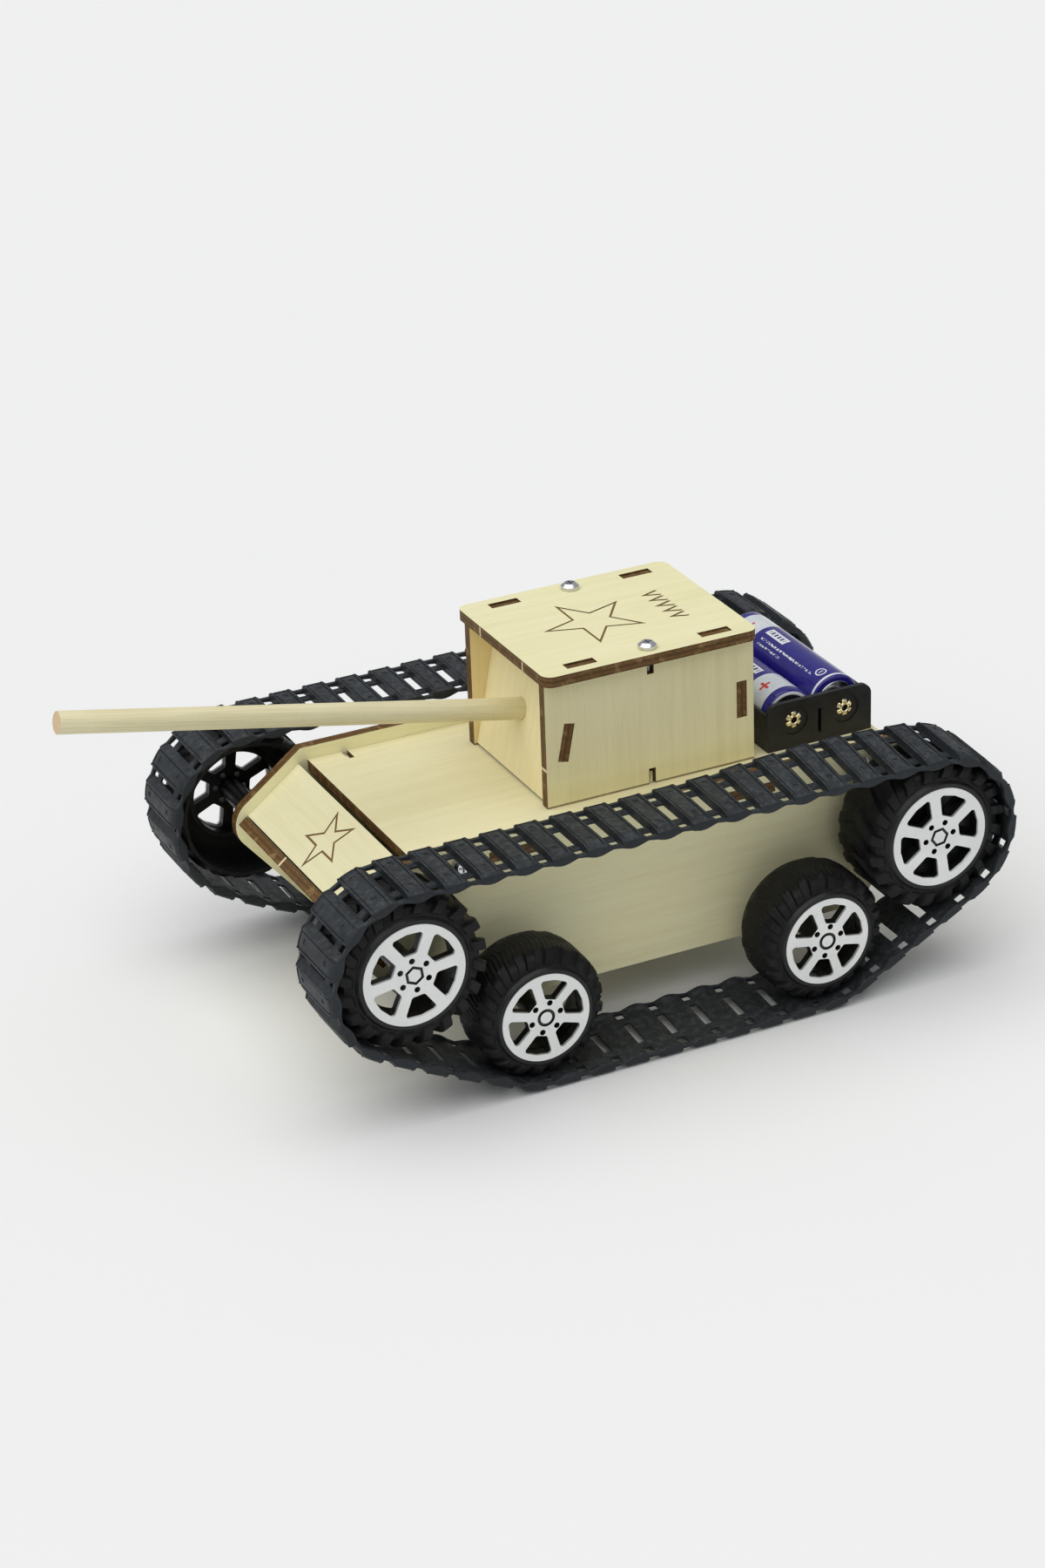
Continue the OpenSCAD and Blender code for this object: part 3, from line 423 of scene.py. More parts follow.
def finish_edges(obj, width):
    """Small rounded edge on a CAD part, added as modifiers."""
    weld = obj.modifiers.new("weld", "WELD")
    weld.merge_threshold = 2e-6
    flat = obj.modifiers.new("flat", "DECIMATE")
    flat.decimate_type = "DISSOLVE"
    flat.angle_limit = math.radians(1.5)
    bevel = obj.modifiers.new("bevel", "BEVEL")
    bevel.width = width * MM
    bevel.segments = 2
    bevel.limit_method = "ANGLE"
    bevel.angle_limit = math.radians(40)
    bevel.harden_normals = True
    bevel.use_clamp_overlap = True


def smooth_step(x, low, high):
    t = min(1.0, max(0.0, (x - low) / (high - low)))
    return t * t * (3 - 2 * t)


# ---------------------------------------------------------------- tracks

# Belt path as circles in the XZ plane, one round each wheel: x, z, radius of the belt's outside
BELT_R = {True: 22.7, False: 19.7}
BELT = [(x, z, BELT_R[big]) for x, z, big in map(WHEELS.get, ("road_rear", "road_front", "front", "rear"))]
LINKS = 46
TRACK_Y = 52.9
# Place of the first pad from the middle of the lower run, and the right belt's shift from the left one
PAD_OFFSET = -4.2
FAR_SHIFT = -3.8
# How far the slanted front run hangs out on each side, and how far round the big wheel it still does
ARCH = {1: 0.9, -1: 2.4}
FRONT_WRAP = 22


def belt_path():
    """Arcs and straight runs of the belt, anticlockwise: (length, circle or start, normal angle, direction of a
    straight run)."""
    def turn(a, b):
        """Normal angle of the straight run from circle a to circle b."""
        x, z = b[0] - a[0], b[1] - a[1]
        return math.atan2(z, x) - math.acos((a[2] - b[2]) / math.hypot(x, z))

    parts = []
    for i, c in enumerate(BELT):
        after = BELT[(i + 1) % len(BELT)]
        start, stop = turn(BELT[i - 1], c), turn(c, after)
        parts.append((c[2] * ((stop - start) % (2 * math.pi)), c, start, None))
        a, b = (np.array([x + r * math.cos(stop), z + r * math.sin(stop)]) for x, z, r in (c, after))
        length = np.linalg.norm(b - a)
        parts.append((float(length), a, stop, (b - a) / length))
    return parts


BELT_PARTS = belt_path()
BELT_LEN = sum(p[0] for p in BELT_PARTS)
PITCH = BELT_LEN / LINKS


def on_belt(s):
    """Point of the belt's outside and its outward normal at distance s."""
    s %= BELT_LEN
    for length, base, angle, run in BELT_PARTS:
        if s <= length:
            if run is None:
                angle += s / base[2]
                n = (math.cos(angle), math.sin(angle))
                return (base[0] + base[2] * n[0], base[1] + base[2] * n[1]), n
            return (base[0] + run[0] * s, base[1] + run[1] * s), (math.cos(angle), math.sin(angle))
        s -= length
    return on_belt(0.0)


# One link along the belt: an upright face, a flat top, a slope down and a thin web with the windows. Rows are
# distance from the pad's middle and height above the belt's outside
LINK = [(-3.0, 1.3), (-2.5, 1.3), (-2.38, 0.92), (-2.18, 0.92), (-2.06, 1.16), (-0.7, 1.16), (-0.55, 1.16),
        (0.55, 1.16), (0.7, 1.16), (1.65, 1.16), (1.77, 0.92), (1.97, 0.92), (2.1, 1.3), (2.6, 1.3),
        (2.78, 1.15), (4.1, -0.45), (4.4, -0.6), (6.8, -0.6), (6.9, -0.6)]
LINK_S, LINK_H = zip(*LINK)
WEB_H = -0.6
PAD_END, WINDOW_START, WINDOW_END = 4.1, 4.4, 6.8
GROOVE_H, GROOVE_HALF = 0.92, 0.55
# Across the belt, from its middle outwards
LINK_D = [0, 4.6, 5.6, 5.75, 7.05, 7.2, 8.3, 9.1, 9.9, 10.1, 10.6, 11.12, 11.3]
RAIL = ([0, 9.9, 10.1, 11.12, 11.3], [-0.6, -0.6, -0.2, -0.2, -0.4])
PAD_FALL = ([0, 7.2, 8.3, 9.1, 9.9, 10.6, 11.12, 11.3], [1, 1, 0.97, 0.9, 0.78, 0.56, 0.34, 0.12])
BELT_HALF = 11.3


def link_outside(s, d):
    """Height of a link above the belt's outside at distance s from the pad's middle and d from the track's
    middle."""
    d = abs(d)
    top = float(np.interp(s, LINK_S, LINK_H))
    if abs(s) <= GROOVE_HALF and 5.75 <= d <= 7.05:
        top = GROOVE_H
    rail = np.interp(d, *RAIL)
    return rail + max(0.0, top - WEB_H) * np.interp(d, *PAD_FALL) if s <= PAD_END else rail


def link_inside(s, d):
    """Height of the inside: lumps along both edge rails, one at each pad."""
    lump = (0.5 + 0.5 * math.cos(2 * math.pi * s / PITCH)) ** 0.8
    rail = smooth_step(abs(d), 9.5, 10.1)
    return -1.15 + rail * (0.2 - 1.15 * lump) + 0.25 * smooth_step(abs(d), 11.05, BELT_HALF)


def is_window(s, d):
    return WINDOW_START < s < WINDOW_END and (abs(d) < 4.6 or 7.2 < abs(d) < 9.9)


# Rise of the left belt's inner edge between the wheels, as pairs of x and height, for its upper and lower runs
UPPER_SLACK = ([-119, -112, -104, -96, -88, -78, -68, -58, -48, -40, -28, -10],
               [0, 0.9, 1.0, 1.5, 2.1, 2.6, 2.6, 2.0, 1.5, 0.7, 0.3, 0])
LOWER_SLACK = ([-64, -48, -30, -8, 10], [0, 1.4, 1.6, 1.4, 0])
LOWER_RUN_Z, UPPER_RUN_Z = 2, 45


def slack(x, z, d):
    """Rise of the soft belt's inner edge at x, z; d is the distance outwards from the belt's middle."""
    if LOWER_RUN_Z < z < UPPER_RUN_Z:
        return 0.0
    rise = np.interp(x, *(UPPER_SLACK if z > UPPER_RUN_Z else LOWER_SLACK))
    return smooth_step(-d, -BELT_HALF, BELT_HALF) * float(rise)


def bulge(s):
    """Share of its arch that the slanted front run has at s, from the road wheel to the big wheel's front."""
    start = sum(p[0] for p in BELT_PARTS[:3])
    f = (s % BELT_LEN - start) / (BELT_PARTS[3][0] + FRONT_WRAP)
    return math.sin(math.pi * f) ** 1.3 if 0 < f < 1 else 0.0


def track(name, side):
    """Belt as an outside and an inside grid of points, with walls round its windows and along its edges."""
    width = sorted({-w for w in LINK_D} | set(LINK_D))
    cols = len(width)
    middle = [(a + b) / 2 for a, b in zip(width, width[1:])]
    ends = [*LINK_S[1:], PITCH + LINK_S[0]]
    first = BELT_PARTS[0][0] + BELT_PARTS[1][0] / 2 + PAD_OFFSET + (FAR_SHIFT if side < 0 else 0)
    points, hole = [], []
    for k in range(LINKS):
        for s in LINK_S:
            (x, z), n = on_belt(first + k * PITCH + s)
            arch = bulge(first + k * PITCH + s) * ARCH[side]
            for level in (link_outside, link_inside):
                for d in width:
                    h = level(s, d) + arch
                    rise = slack(x, z, d) if side > 0 else 0.0
                    points.append((x + n[0] * h, side * (TRACK_Y + d), z + n[1] * h + rise))
        hole += [[is_window((s + e) / 2, d) for d in middle] for s, e in zip(LINK_S, ends)]
    rows = len(hole)
    faces = []
    for i in range(rows):
        a, b = i * 2 * cols, (i + 1) % rows * 2 * cols
        for j in range(cols - 1):
            if hole[i][j]:
                continue
            faces.append((a + j, a + j + 1, b + j + 1, b + j))
            faces.append((a + cols + j, b + cols + j, b + cols + j + 1, a + cols + j + 1))
            if hole[i - 1][j]:
                faces.append((a + j, a + cols + j, a + cols + j + 1, a + j + 1))
            if hole[(i + 1) % rows][j]:
                faces.append((b + j + 1, b + cols + j + 1, b + cols + j, b + j))
            if j == 0 or hole[i][j - 1]:
                faces.append((a + j, b + j, b + cols + j, a + cols + j))
            if j == cols - 2 or hole[i][j + 1]:
                faces.append((b + j + 1, a + j + 1, a + cols + j + 1, b + cols + j + 1))
    piece("track_belt_" + name, points, faces, [TREAD], HULL, ["track_" + name], sharp=32)


# ---------------------------------------------------------------- tyres

TYRE_MID = 53.1
LUGS = 20


def plain(*rows):
    """Profile rows that are the same all round, from radius and y."""
    return [(r, y, r, y, 0, "plain") for r, y in rows]


# Rows run from the rim out to the tread's middle: radius on a lug, y on a lug, radius in a groove, y in a
# groove, slant in lugs, and the pattern followed. "at" holds the columns' places within a lug, and each pattern
# says which of them are raised. The rows from TREAD_ROW on make the inner side too
TREAD_ROW = 8
RING_ROWS = (2, 3)
BIG_TYRE = {
    "rows": plain((13.65, 61.95), (14.13, 61.97), (14.2, 62.65), (15.2, 62.6), (15.9, 61.75), (16.4, 61.7)) + [
        (17.0, 62.2, 16.9, 61.5, 0.03, "lug"), (19.2, 62.2, 18.5, 61.0, 0.16, "lug"),
        (20.6, 61.4, 19.1, 60.2, 0.24, "lug"), (21.2, 60.1, 19.4, 59.2, 0.32, "lug"),
        (21.2, 57.0, 19.8, 56.9, 0.52, "lug"), (21.2, 53.1, 20.7, 53.1, 0.8, "lug")],
    "at": [0, 0.09, 0.31, 0.53, 0.62, 0.81], "lug": [0, 1, 1, 1, 0, 0], "plain": [1] * 6, "inner_width": 1.0}
ROAD_TYRE = {
    "rows": plain((11.95, 61.95), (12.43, 61.97), (12.5, 62.65), (13.4, 62.6), (14.0, 61.75), (14.4, 61.7)) + [
        (15.0, 62.0, 14.9, 61.5, 0.02, "lug"), (16.4, 61.5, 15.9, 60.7, 0.12, "lug"),
        (17.4, 60.5, 16.7, 59.8, 0.2, "lug"), (18.0, 59.2, 17.4, 58.8, 0.25, "lug"),
        (18.1, 58.2, 17.8, 58.2, 0.3, "rib"), (18.2, 56.6, 17.95, 56.6, 0.36, "rib"),
        (18.2, 53.1, 17.95, 53.1, 0.5, "rib")],
    "at": [i / 12 for i in range(12)], "lug": [0, 1, 1, 1, 1, 1, 1, 0, 0, 0, 0, 0], "rib": [0, 1, 1] * 4,
    "plain": [1] * 12, "inner_width": 0.8}


def tyre(node, body, x, z, kind, side):
    """Tyre as a grid of profile points by angle. The grooves run out towards the inner side, which is hollow
    between the tread and the rim."""
    outer = kind["rows"]
    inner = []
    for r, y, low_r, low_y, slant, pattern in reversed(outer[TREAD_ROW:-1]):
        back_y = TYRE_MID - (y - TYRE_MID) * kind["inner_width"]
        inner.append((r, back_y, r - (r - low_r) * 0.3, back_y + (y - low_y) * 0.3, slant, pattern))
    top, rim_r, back = outer[-1][0], outer[0][0], TYRE_MID - 9.1 * kind["inner_width"]
    hollow = plain((top - 1.6, back), (top - 2.5, back + 0.1), (top - 2.6, back + 0.4), (top - 2.5, 49),
                   (top - 2.55, 53.8), (top - 3.5, 55.9), (rim_r + 0.5, 56), (rim_r, 56.2))
    profile = outer + inner + hollow
    points = []
    for k in range(LUGS):
        for c, step in enumerate(kind["at"]):
            for radius, y, low_r, low_y, slant, pattern in profile:
                h = kind[pattern][c]
                r, yy = low_r + (radius - low_r) * h, low_y + (y - low_y) * h
                turn = 2 * math.pi * (k + step + slant) / LUGS
                points.append((x + r * math.cos(turn), side * yy, z + r * math.sin(turn)))
    rings = LUGS * len(kind["at"])
    faces = ring_faces(rings, len(profile))
    which = [1 if j in RING_ROWS else 0 for _ in range(rings) for j in range(len(profile))]
    piece(node + "_treaded", points, faces, [TYRE, TYRE_RING], body, [node], which, sharp=30)


def wheel_web_and_shade(name, side):
    """Dished black web with raised ribs, close behind the windows of a driven wheel: partly the wheel's own web,
    partly a dark piece standing in for the shade behind the windows.
    """
    x, z, _ = WHEELS["rear"]
    rings, rib_pitch, rib_width, rib_h = 72, 12, 2, 0.35
    # Radius, y and whether the row is on the ribbed face
    profile = [(3.15, 57.6, False), (4.2, 57.7, True), (8.0, 58.3, True), (11.6, 58.9, True),
               (12.15, 58.9, False), (12.15, 57.9, False), (8.0, 57.3, False), (3.15, 56.6, False)]
    points = []
    for k in range(rings):
        t = 2 * math.pi * k / rings
        rib = rib_h if k % rib_pitch < rib_width else 0.0
        points += [(x + r * math.cos(t), side * (y + (rib if ribbed else 0)), z + r * math.sin(t))
                   for r, y, ribbed in profile]
    faces = ring_faces(rings, len(profile))
    piece("driven_web_and_shade_" + name, points, faces, [RIM], "rear_wheels")


# ---------------------------------------------------------------- battery parts

CELL_Z, CELL_R = 66.9, 7.25
FRONT_CELL_X, REAR_CELL_X = -76.55, -92.25
# Y of each cell's flat end, and of the holder's end walls inside and outside
FRONT_CELL_FLAT, REAR_CELL_FLAT = -29.05, 18.35
WALL_INSIDE_LEFT, WALL_INSIDE_RIGHT = 21.95, -32.65
WALL_OUTSIDE_LEFT, WALL_OUTSIDE_RIGHT = 22.9, -33.6
EYELET_Z = 66.5
# Turned profile of a cell from its flat end to its button: distance along the axis, radius
CELL_PROFILE = [
    (0.25, 0), (0.25, 4.6), (0.1, 5.2), (0.25, 5.35), (0.02, 5.5), (0.0, 6.5), (0.12, 6.95), (0.45, 7.2),
    (1.0, CELL_R), (13, CELL_R), (37, CELL_R), (48.4, CELL_R), (49.0, 7.18), (49.35, 6.9), (49.5, 6.4),
    (49.45, 5.2), (49.2, 5.0), (49.15, 3.1), (49.2, 2.75), (50.2, 2.65), (50.42, 2.45), (50.5, 2.1), (50.5, 0)]
SLEEVE, END_METAL, INSULATOR = 0, 1, 2


def cell_material(strip):
    """Material number of a strip of the cell's profile. The printed sleeve folds over both rims."""
    if 4 <= strip < 16:
        return SLEEVE
    return INSULATOR if strip in (16, 17) else END_METAL


def cell(node, body, x, start, sign):
    """Battery cell: flat end at y = start, button towards sign."""
    def place(along, u, v):
        return x + u, start + sign * along, CELL_Z + v

    steps = 72
    rim = CELL_PROFILE[1:-1]
    n, last = len(rim), 1 + steps * len(rim)
    points = [place(CELL_PROFILE[0][0], 0, 0)]
    for k in range(steps):
        t = 2 * math.pi * k / steps
        points += [place(a, r * math.cos(t), r * math.sin(t)) for a, r in rim]
    points.append(place(CELL_PROFILE[-1][0], 0, 0))
    faces, which = [], []
    for k in range(steps):
        a, b = 1 + k * n, 1 + (k + 1) % steps * n
        faces.append((0, a, b))
        faces += [(a + j, a + j + 1, b + j + 1, b + j) for j in range(n - 1)]
        faces.append((a + n - 1, last, b + n - 1))
        which += [cell_material(j) for j in range(n + 1)]
    materials = [cell_print(node, x, start, sign), CELL_END, HOLDER]
    piece(node + "_sleeved", points, faces, materials, body, [node], which)


def cell_print(name, x, start, sign):
    """Glossy navy sleeve with a pale band, a red cross at the button end and generic print marks."""
    g = Graph("print_" + name, Specular_IOR_Level=0.25, Coat_Weight=0.4, Coat_Roughness=0.06)
    p = g.point()
    px, py, pz = g.split(p)
    along = g.times(g.minus(py, start), sign)
    dx, dz = g.minus(px, x), g.minus(pz, CELL_Z)
    round_ = g.times(g.math("ARCTAN2", dz, dx), CELL_R)
    rim = g.distance(dx, dz)

    def box(a, b, c, d):
        """1 from a to b along the cell and from c to d round it."""
        return g.times(g.near(along, (a + b) / 2, (b - a) / 2), g.near(round_, (c + d) / 2, (d - c) / 2))

    white, red, dark, black = (0.72, 0.74, 0.76), (0.55, 0.03, 0.03), (0.03, 0.03, 0.16), (0.02, 0.02, 0.02)
    tone = g.between(g.noise(p, 0.25, 3, 0.6), 0.3, 0.7)
    navy = g.mix(tone, (0.014, 0.010, 0.17), (0.020, 0.014, 0.21))
    pale = g.mix(tone, (0.56, 0.61, 0.66), (0.64, 0.67, 0.70))
    edge = g.math("ADD", 36.6, g.times(g.math("SINE", g.times(round_, 0.14)), 0.6))
    ink = g.mix(g.math("GREATER_THAN", along, edge), navy, pale)
    # Polarity cross, a label with bars on it and two broken lines of marks
    cross = g.math("MAXIMUM", box(40.2, 43.8, 7.6, 8.4), box(41.6, 42.4, 6.2, 9.8))
    ink = g.mix(cross, ink, red)
    ink = g.mix(box(25.5, 35.0, 9.2, 12.0), ink, white)
    bars = g.math("LESS_THAN", g.math("FRACT", g.times(along, 0.62)), 0.55)
    ink = g.mix(g.times(bars, box(26.4, 34.2, 9.9, 11.3)), ink, dark)
    marks = g.math("GREATER_THAN", g.noise(g.join(along, round_, 2.0), 1.6, 1, 0.5), 0.5)
    ink = g.mix(g.times(marks, box(6.5, 34, 6.9, 7.6)), ink, white)
    ink = g.mix(g.times(marks, box(22, 34, 5.2, 5.8)), ink, white)
    # Ring with a dash in it near the flat end, and a white line round the cell
    ax, ay = g.minus(along, 4.6), g.minus(round_, 9.4)
    circle = g.near(g.distance(ax, ay), 1.45, 0.2)
    dash = g.times(g.math("LESS_THAN", g.size(ax), 0.18), g.math("LESS_THAN", g.size(ay), 0.75))
    ink = g.mix(g.math("MAXIMUM", circle, dash), ink, white)
    ink = g.mix(g.near(along, 1.1, 0.4), ink, white)
    # The ends, where the sleeve folds over the rims
    ink = g.mix(g.math("GREATER_THAN", along, 46.6), ink, navy)
    button_end = g.math("GREATER_THAN", along, 25.0)
    ink = g.mix(g.between(rim, 6.65, 6.8, 1, 0), ink, g.mix(button_end, navy, white))
    ink = g.mix(g.times(button_end, g.between(rim, 5.85, 5.95, 1, 0)), ink, black)
    g.set("Base Color", ink)
    g.set("Roughness", g.between(g.noise(p, 0.8, 3, 0.6), 0.3, 0.7, 0.2, 0.32))
    g.bump(g.noise(g.join(g.times(along, 0.1), round_, 0.0), 0.8, 2, 0.5), 0.1, 0.05)
    return g.material


def tube(path, radius, sides=10):
    """Points and faces of a round bar along a path."""
    points = []
    count = len(path)
    for i, p in enumerate(path):
        d = (Vector(path[min(i + 1, count - 1)]) - Vector(path[max(i - 1, 0)])).normalized()
        a = d.cross(Vector((0, 1, 0.01))).normalized()
        b = d.cross(a)
        for k in range(sides):
            t = 2 * math.pi * k / sides
            points.append(Vector(p) + radius * (math.cos(t) * a + math.sin(t) * b))
    faces = ring_faces(count, sides, closed=False)
    faces += [tuple(range(sides)), tuple(range((count - 1) * sides, count * sides))]
    return points, faces


def joined(parts):
    """Points and faces of several shapes as one."""
    points, faces = [], []
    for p, f in parts:
        n = len(points)
        points += list(p)
        faces += [tuple(i + n for i in face) for face in f]
    return points, faces


def contact_plate(x, y, sign, dimple):
    """Thin plate, 8 by 9 mm, looking along sign in Y; the dimple stands out at its middle."""
    n, half_thick = 9, 0.19
    grid = []
    for layer in (half_thick, -half_thick):
        for i in range(n):
            for j in range(n):
                a, b = -4 + 8 * i / (n - 1), -5 + 9 * j / (n - 1)
                out = dimple * max(0.0, 1 - math.hypot(a, b) / 3)
                grid.append((x + a, y + sign * (layer - out), CELL_Z + b))
    back = n * n
    faces = []
    for i in range(n - 1):
        for j in range(n - 1):
            q = i * n + j
            faces += [(q, q + 1, q + n + 1, q + n), (q + back, q + back + n, q + back + n + 1, q + back + 1)]
    rim = [i * n for i in range(n)] + [(n - 1) * n + j for j in range(1, n)]
    rim += [i * n + n - 1 for i in range(n - 2, -1, -1)] + list(range(n - 2, 0, -1))
    faces += [(a, b, b + back, a + back) for a, b in zip(rim, rim[1:] + rim[:1])]
    return grid, faces


def contact_spring(x, wall, sign):
    """Coil that narrows away from its wall."""
    turns, steps = 3, 60
    coil = []
    for k in range(turns * steps + 1):
        f = k / (turns * steps)
        r = 3.5 - 0.9 * f
        t = 2 * math.pi * turns * f
        coil.append((x + r * math.cos(t), wall - sign * (0.78 + 2.35 * f), CELL_Z + r * math.sin(t)))
    return tube(coil, 0.36)


def contacts():
    """Coiled springs for the flat ends and dimpled plates for the button ends, in bent spring steel."""
    parts = []
    ends = ((FRONT_CELL_X, REAR_CELL_X, WALL_INSIDE_LEFT, 1), (REAR_CELL_X, FRONT_CELL_X, WALL_INSIDE_RIGHT, -1))
    for x_plain, x_coil, wall, sign in ends:
        y = wall - sign * 0.2
        parts += [contact_plate(x_plain, y, sign, 0.25), contact_plate(x_coil, y, sign, 0.0),
                  contact_spring(x_coil, wall, sign)]
    points, faces = joined(parts)
    piece("coil_contacts", points, faces, [SPRING], HULL, ["battery_springs"], sharp=40)


def eyelets():
    """Brass tubular rivets whose ends are split into petals and rolled over."""
    parts = []
    petals, steps = 6, 14
    # Radius and height above the wall: up the bore, over the rolled petals and down the outside
    profile = [(0.85, -0.9), (0.85, 0.25), (1.0, 0.52), (1.3, 0.66), (1.7, 0.6), (2.1, 0.4), (2.4, 0.1),
               (2.3, 0.0), (1.9, 0.1), (1.5, 0.25), (1.2, 0.1), (1.2, -0.9)]
    for x in (FRONT_CELL_X, REAR_CELL_X):
        for wall, sign in ((WALL_OUTSIDE_LEFT, 1), (WALL_OUTSIDE_RIGHT, -1)):
            points = []
            for k in range(petals * steps):
                t = 2 * math.pi * (k + 0.5) / (petals * steps)
                f = (k % steps + 0.5) / steps
                notch = smooth_step(abs(f - 0.5), 0.27, 0.46)
                for r, h in profile:
                    over = max(0.0, r - 1.1)
                    rr = r - over * 0.6 * notch
                    hh = h - (0.35 * notch * min(1.0, over * 1.4) if h > 0 else 0)
                    points.append((x + rr * math.cos(t), wall + sign * hh, EYELET_Z + rr * math.sin(t)))
            parts.append((points, ring_faces(petals * steps, len(profile))))
    points, faces = joined(parts)
    # The bore and the gap behind it are painted dark: painted shade inside the eyelet
    which = [1 if i % len(profile) in (0, len(profile) - 1) else 0 for i in range(len(faces))]
    piece("petal_eyelets", points, faces, [BRASS, HOLDER], HULL, ["battery_eyelets"], which, sharp=50)


# ---------------------------------------------------------------- materials

TREAD = moulded("tread_rubber", (0.023, 0.027, 0.031), (0.015, 0.018, 0.021), 0.5, grain=1.1, dust_and_top_light=0.1,
                bump=0.35, gloss=0.24)
TYRE = moulded("tyre_rubber", (0.009, 0.009, 0.0095), (0.005, 0.005, 0.0055), 0.5, grain=1.6, dust_and_top_light=0.012,
               gloss=0.2)
TYRE_RING = moulded("tyre_rubber_smooth", (0.010, 0.010, 0.011), (0.007, 0.007, 0.008), 0.34, grain=2.4,
                    bump=0.1, gloss=0.3)
RIM = moulded("black_wheel_plastic", (0.010, 0.010, 0.010), (0.006, 0.006, 0.006), 0.4, grain=2.0, gloss=0.22)
CAP = moulded("white_cap_plastic", (0.78, 0.80, 0.79), (0.72, 0.74, 0.73), 0.3, grain=0.9, bump=0.12)
BUSH = moulded("natural_nylon", (0.70, 0.69, 0.64), (0.62, 0.61, 0.56), 0.4, grain=1.5)
HOLDER = moulded("black_holder_plastic", (0.0105, 0.011, 0.0115), (0.007, 0.0072, 0.0075), 0.42, grain=1.2,
                 dust_and_top_light=0.03, gloss=0.4)
SWITCH = moulded("black_switch_plastic", (0.025, 0.025, 0.025), (0.016, 0.016, 0.016), 0.45, grain=2.2)
GEAR = moulded("natural_acetal", (0.80, 0.77, 0.68), (0.74, 0.71, 0.61), 0.35, grain=1.2)
GEARBOX = moulded("yellow_frame_plastic", (0.62, 0.45, 0.06), (0.55, 0.39, 0.05), 0.4, grain=1.0)
RED = moulded("red_insulation", (0.42, 0.015, 0.012), (0.34, 0.012, 0.010), 0.38, grain=3.0)
BLACK = moulded("black_insulation", (0.020, 0.020, 0.021), (0.013, 0.013, 0.014), 0.38, grain=3.0)
STEEL = metal("bright_zinc", (0.72, 0.73, 0.75), (0.58, 0.59, 0.61), 0.22)
AXLE = metal("drawn_steel", (0.62, 0.63, 0.65), (0.48, 0.49, 0.51), 0.26, (2, 0.1, 2))
SPRING = metal("nickel_spring", (0.66, 0.66, 0.66), (0.50, 0.50, 0.50), 0.24)
MOTOR = metal("nickel_can", (0.58, 0.59, 0.60), (0.46, 0.47, 0.48), 0.3, (0.15, 2, 2))
BRASS = metal("rolled_brass", (0.95, 0.86, 0.56), (0.84, 0.72, 0.42), 0.2, stain=(0.40, 0.28, 0.10))
CELL_END = metal("cell_end_plate", (0.74, 0.75, 0.77), (0.62, 0.63, 0.65), 0.2)

ALONG_X, ALONG_Y, ALONG_Z = (1, 0, 0), (0, 1, 0), (0, 0, 1)
NO_PAINTED_LIGHT = (1, 1, 1)
# Plates: direction of the grain, and painted light as a factor on the wood's colour for how brightly and warmly
# the plate is lit
PLATES = {
    "side_plate_left": (ALONG_X, (1.15, 1.14, 1.12)), "side_plate_right": (ALONG_X, (1.15, 1.14, 1.12)),
    "deck_plate": (ALONG_X, (0.95, 0.935, 0.91)), "glacis_plate": (ALONG_Y, (0.98, 0.975, 0.97)),
    "nose_plate": (ALONG_Y, NO_PAINTED_LIGHT), "belly_plate": (ALONG_X, NO_PAINTED_LIGHT),
    "tail_plate_upper": (ALONG_Y, NO_PAINTED_LIGHT), "tail_plate_lower": (ALONG_Y, NO_PAINTED_LIGHT),
    "turret_side_left": (ALONG_Z, (1.0, 0.985, 0.95)), "turret_side_right": (ALONG_Z, (1.06, 0.93, 0.8)),
    "turret_front": (ALONG_Z, (1.16, 1.07, 1.0)), "turret_rear": (ALONG_Z, NO_PAINTED_LIGHT),
    "turret_top": (ALONG_X, (1.02, 1.02, 0.99))}
# Small unburnt bridges that held the parts in their sheet: middle and half size
TICKS = {
    "turret_top": [((-1.1, 13.5, 95.6), (1.2, 0.35, 1.6)), ((-1.1, -12, 95.6), (1.2, 0.35, 1.6))],
    "turret_side_left": [((-2.1, 22.5, 69.5), (0.8, 2.0, 0.4))],
    "nose_plate": [((60, -8, 41), (9, 0.4, 9))]}
# Faces darkened by the cut just beside them, where a plate stands on the deck: middle and half size
SCORCHED = {
    "turret_side_left": [((-33, 23, 58.6), (42, 3, 0.45))],
    "turret_side_right": [((-33, -23, 58.6), (42, 3, 0.45))]}
BARREL_LEAN = math.radians(11.6)

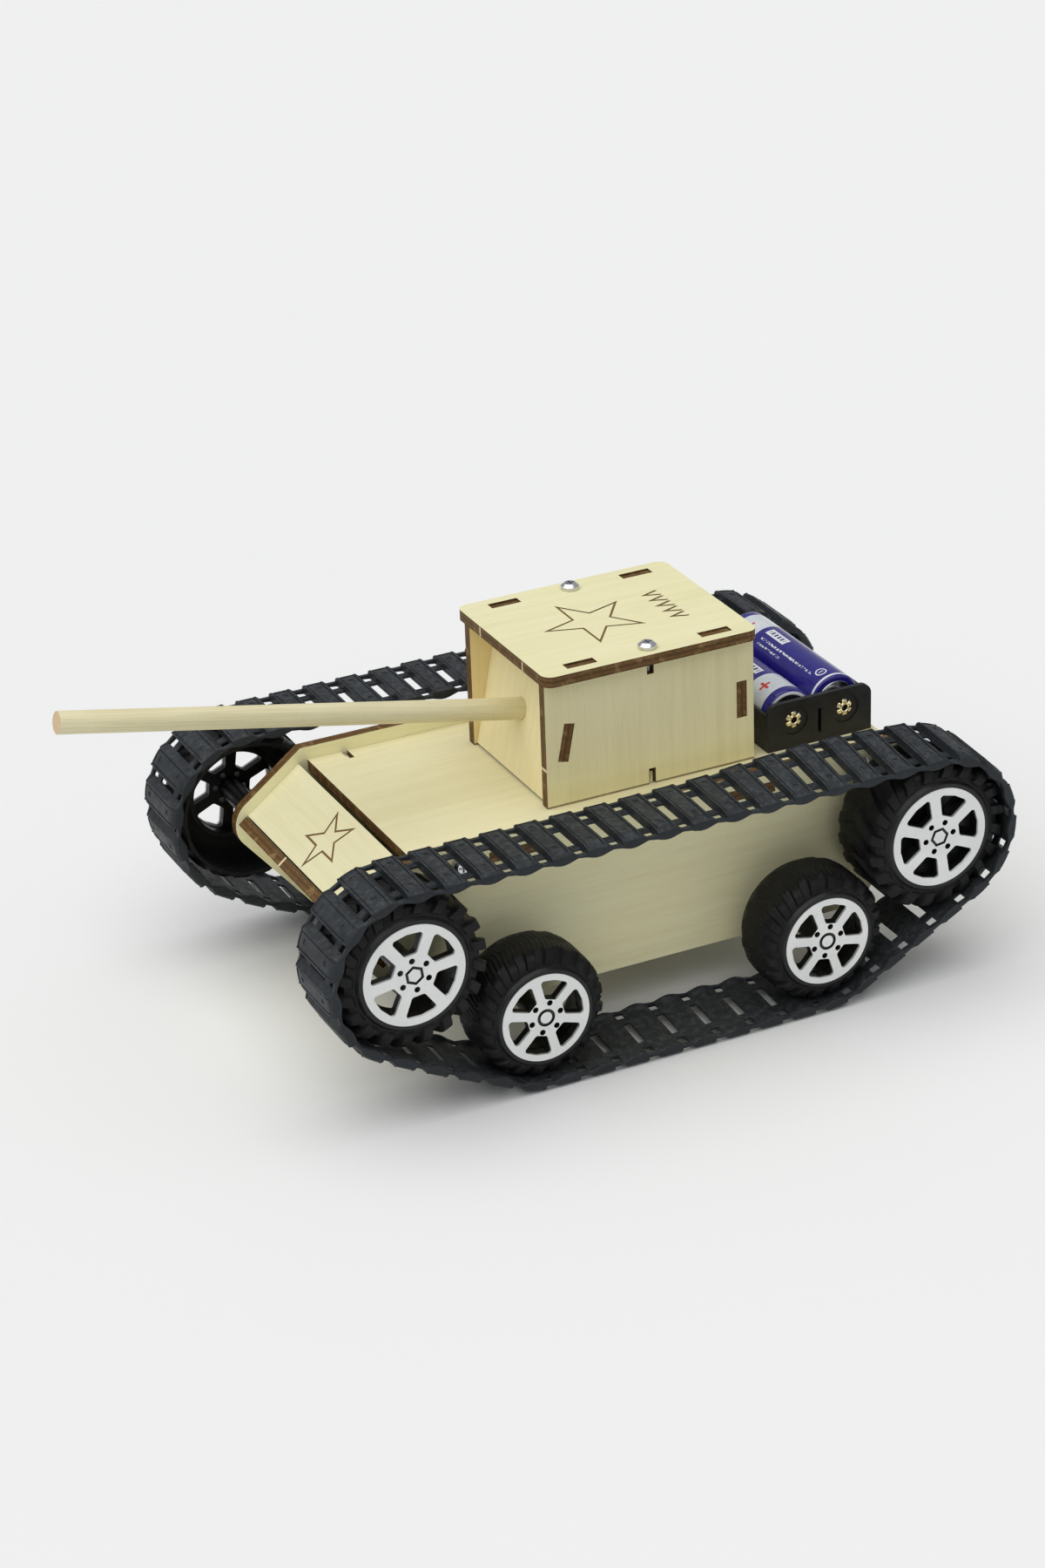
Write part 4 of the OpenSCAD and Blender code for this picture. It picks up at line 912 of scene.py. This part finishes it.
PAINT = {name: plywood(nodes[name], grain, seed, TICKS.get(name, ()), SCORCHED.get(name, ()), painted_light)
         for seed, (name, (grain, painted_light)) in enumerate(PLATES.items(), 1)}
PAINT |= {
    "barrel": dowel(nodes["barrel"], (math.cos(BARREL_LEAN), 0, math.sin(BARREL_LEAN)), 4),
    "hull_screws": STEEL, "turret_screws": STEEL, "axle_bushes": BUSH, "battery_holder": HOLDER,
    "switch_body": SWITCH, "switch_slider": CAP, "gearbox_frame": GEARBOX, "gearbox_screws": STEEL,
    "motor_can": MOTOR, "motor_end_cap": HOLDER, "lead_red": RED, "lead_link": RED, "lead_black": BLACK,
    "motor_pinion": GEAR, "gear_one": GEAR, "gear_two": GEAR, "axle_gear": GEAR}
for axle, (x, z, _) in WHEELS.items():
    PAINT |= {axle + "_axle": AXLE, axle + "_rims": RIM, axle + "_caps": wheel_cap(axle + "_cap_plastic", x, z)}
for name, material in PAINT.items():
    nodes[name].data.materials.clear()
    nodes[name].data.materials.append(material)

# Rounded edges of CAD parts, in millimetres
ROUNDED = {"barrel": 0.2, "battery_holder": 0.2, "switch_body": 0.1, "switch_slider": 0.1, "hull_screws": 0.1,
           "turret_screws": 0.1, "front_caps": 0.18, "rear_caps": 0.18, "road_front_caps": 0.18,
           "road_rear_caps": 0.18}
for name, width in ROUNDED.items():
    finish_edges(nodes[name], width)

# ---------------------------------------------------------------- pieces

for name, side in SIDES:
    track(name, side)
for axle, (x, z, big) in WHEELS.items():
    for name, side in SIDES:
        tyre(f"{axle}_tyre_{name}", axle + "_wheels", x, z, BIG_TYRE if big else ROAD_TYRE, side)
cell("cell_front", "front_cell", FRONT_CELL_X, FRONT_CELL_FLAT, 1)
cell("cell_rear", "rear_cell", REAR_CELL_X, REAR_CELL_FLAT, -1)
contacts()
eyelets()
for name, side in SIDES:
    wheel_web_and_shade(name, side)

# ---------------------------------------------------------------- floor

FLOOR_HALF = 6
floor_mesh = bpy.data.meshes.new("floor")
corners = ((-1, -1), (1, -1), (1, 1), (-1, 1))
floor_mesh.from_pydata([(x * FLOOR_HALF, y * FLOOR_HALF, 0) for x, y in corners], [], [(0, 1, 2, 3)])
floor = bpy.data.objects.new("floor", floor_mesh)
bpy.context.scene.collection.objects.link(floor)
ground = Graph("pale_floor", Specular_IOR_Level=0.1, Roughness=0.9)
cloud = ground.noise(ground.point(), 0.004, 2)
ground.set("Base Color", ground.mix(cloud, (0.83, 0.835, 0.83), (0.85, 0.855, 0.85)))
floor_mesh.materials.append(ground.material)
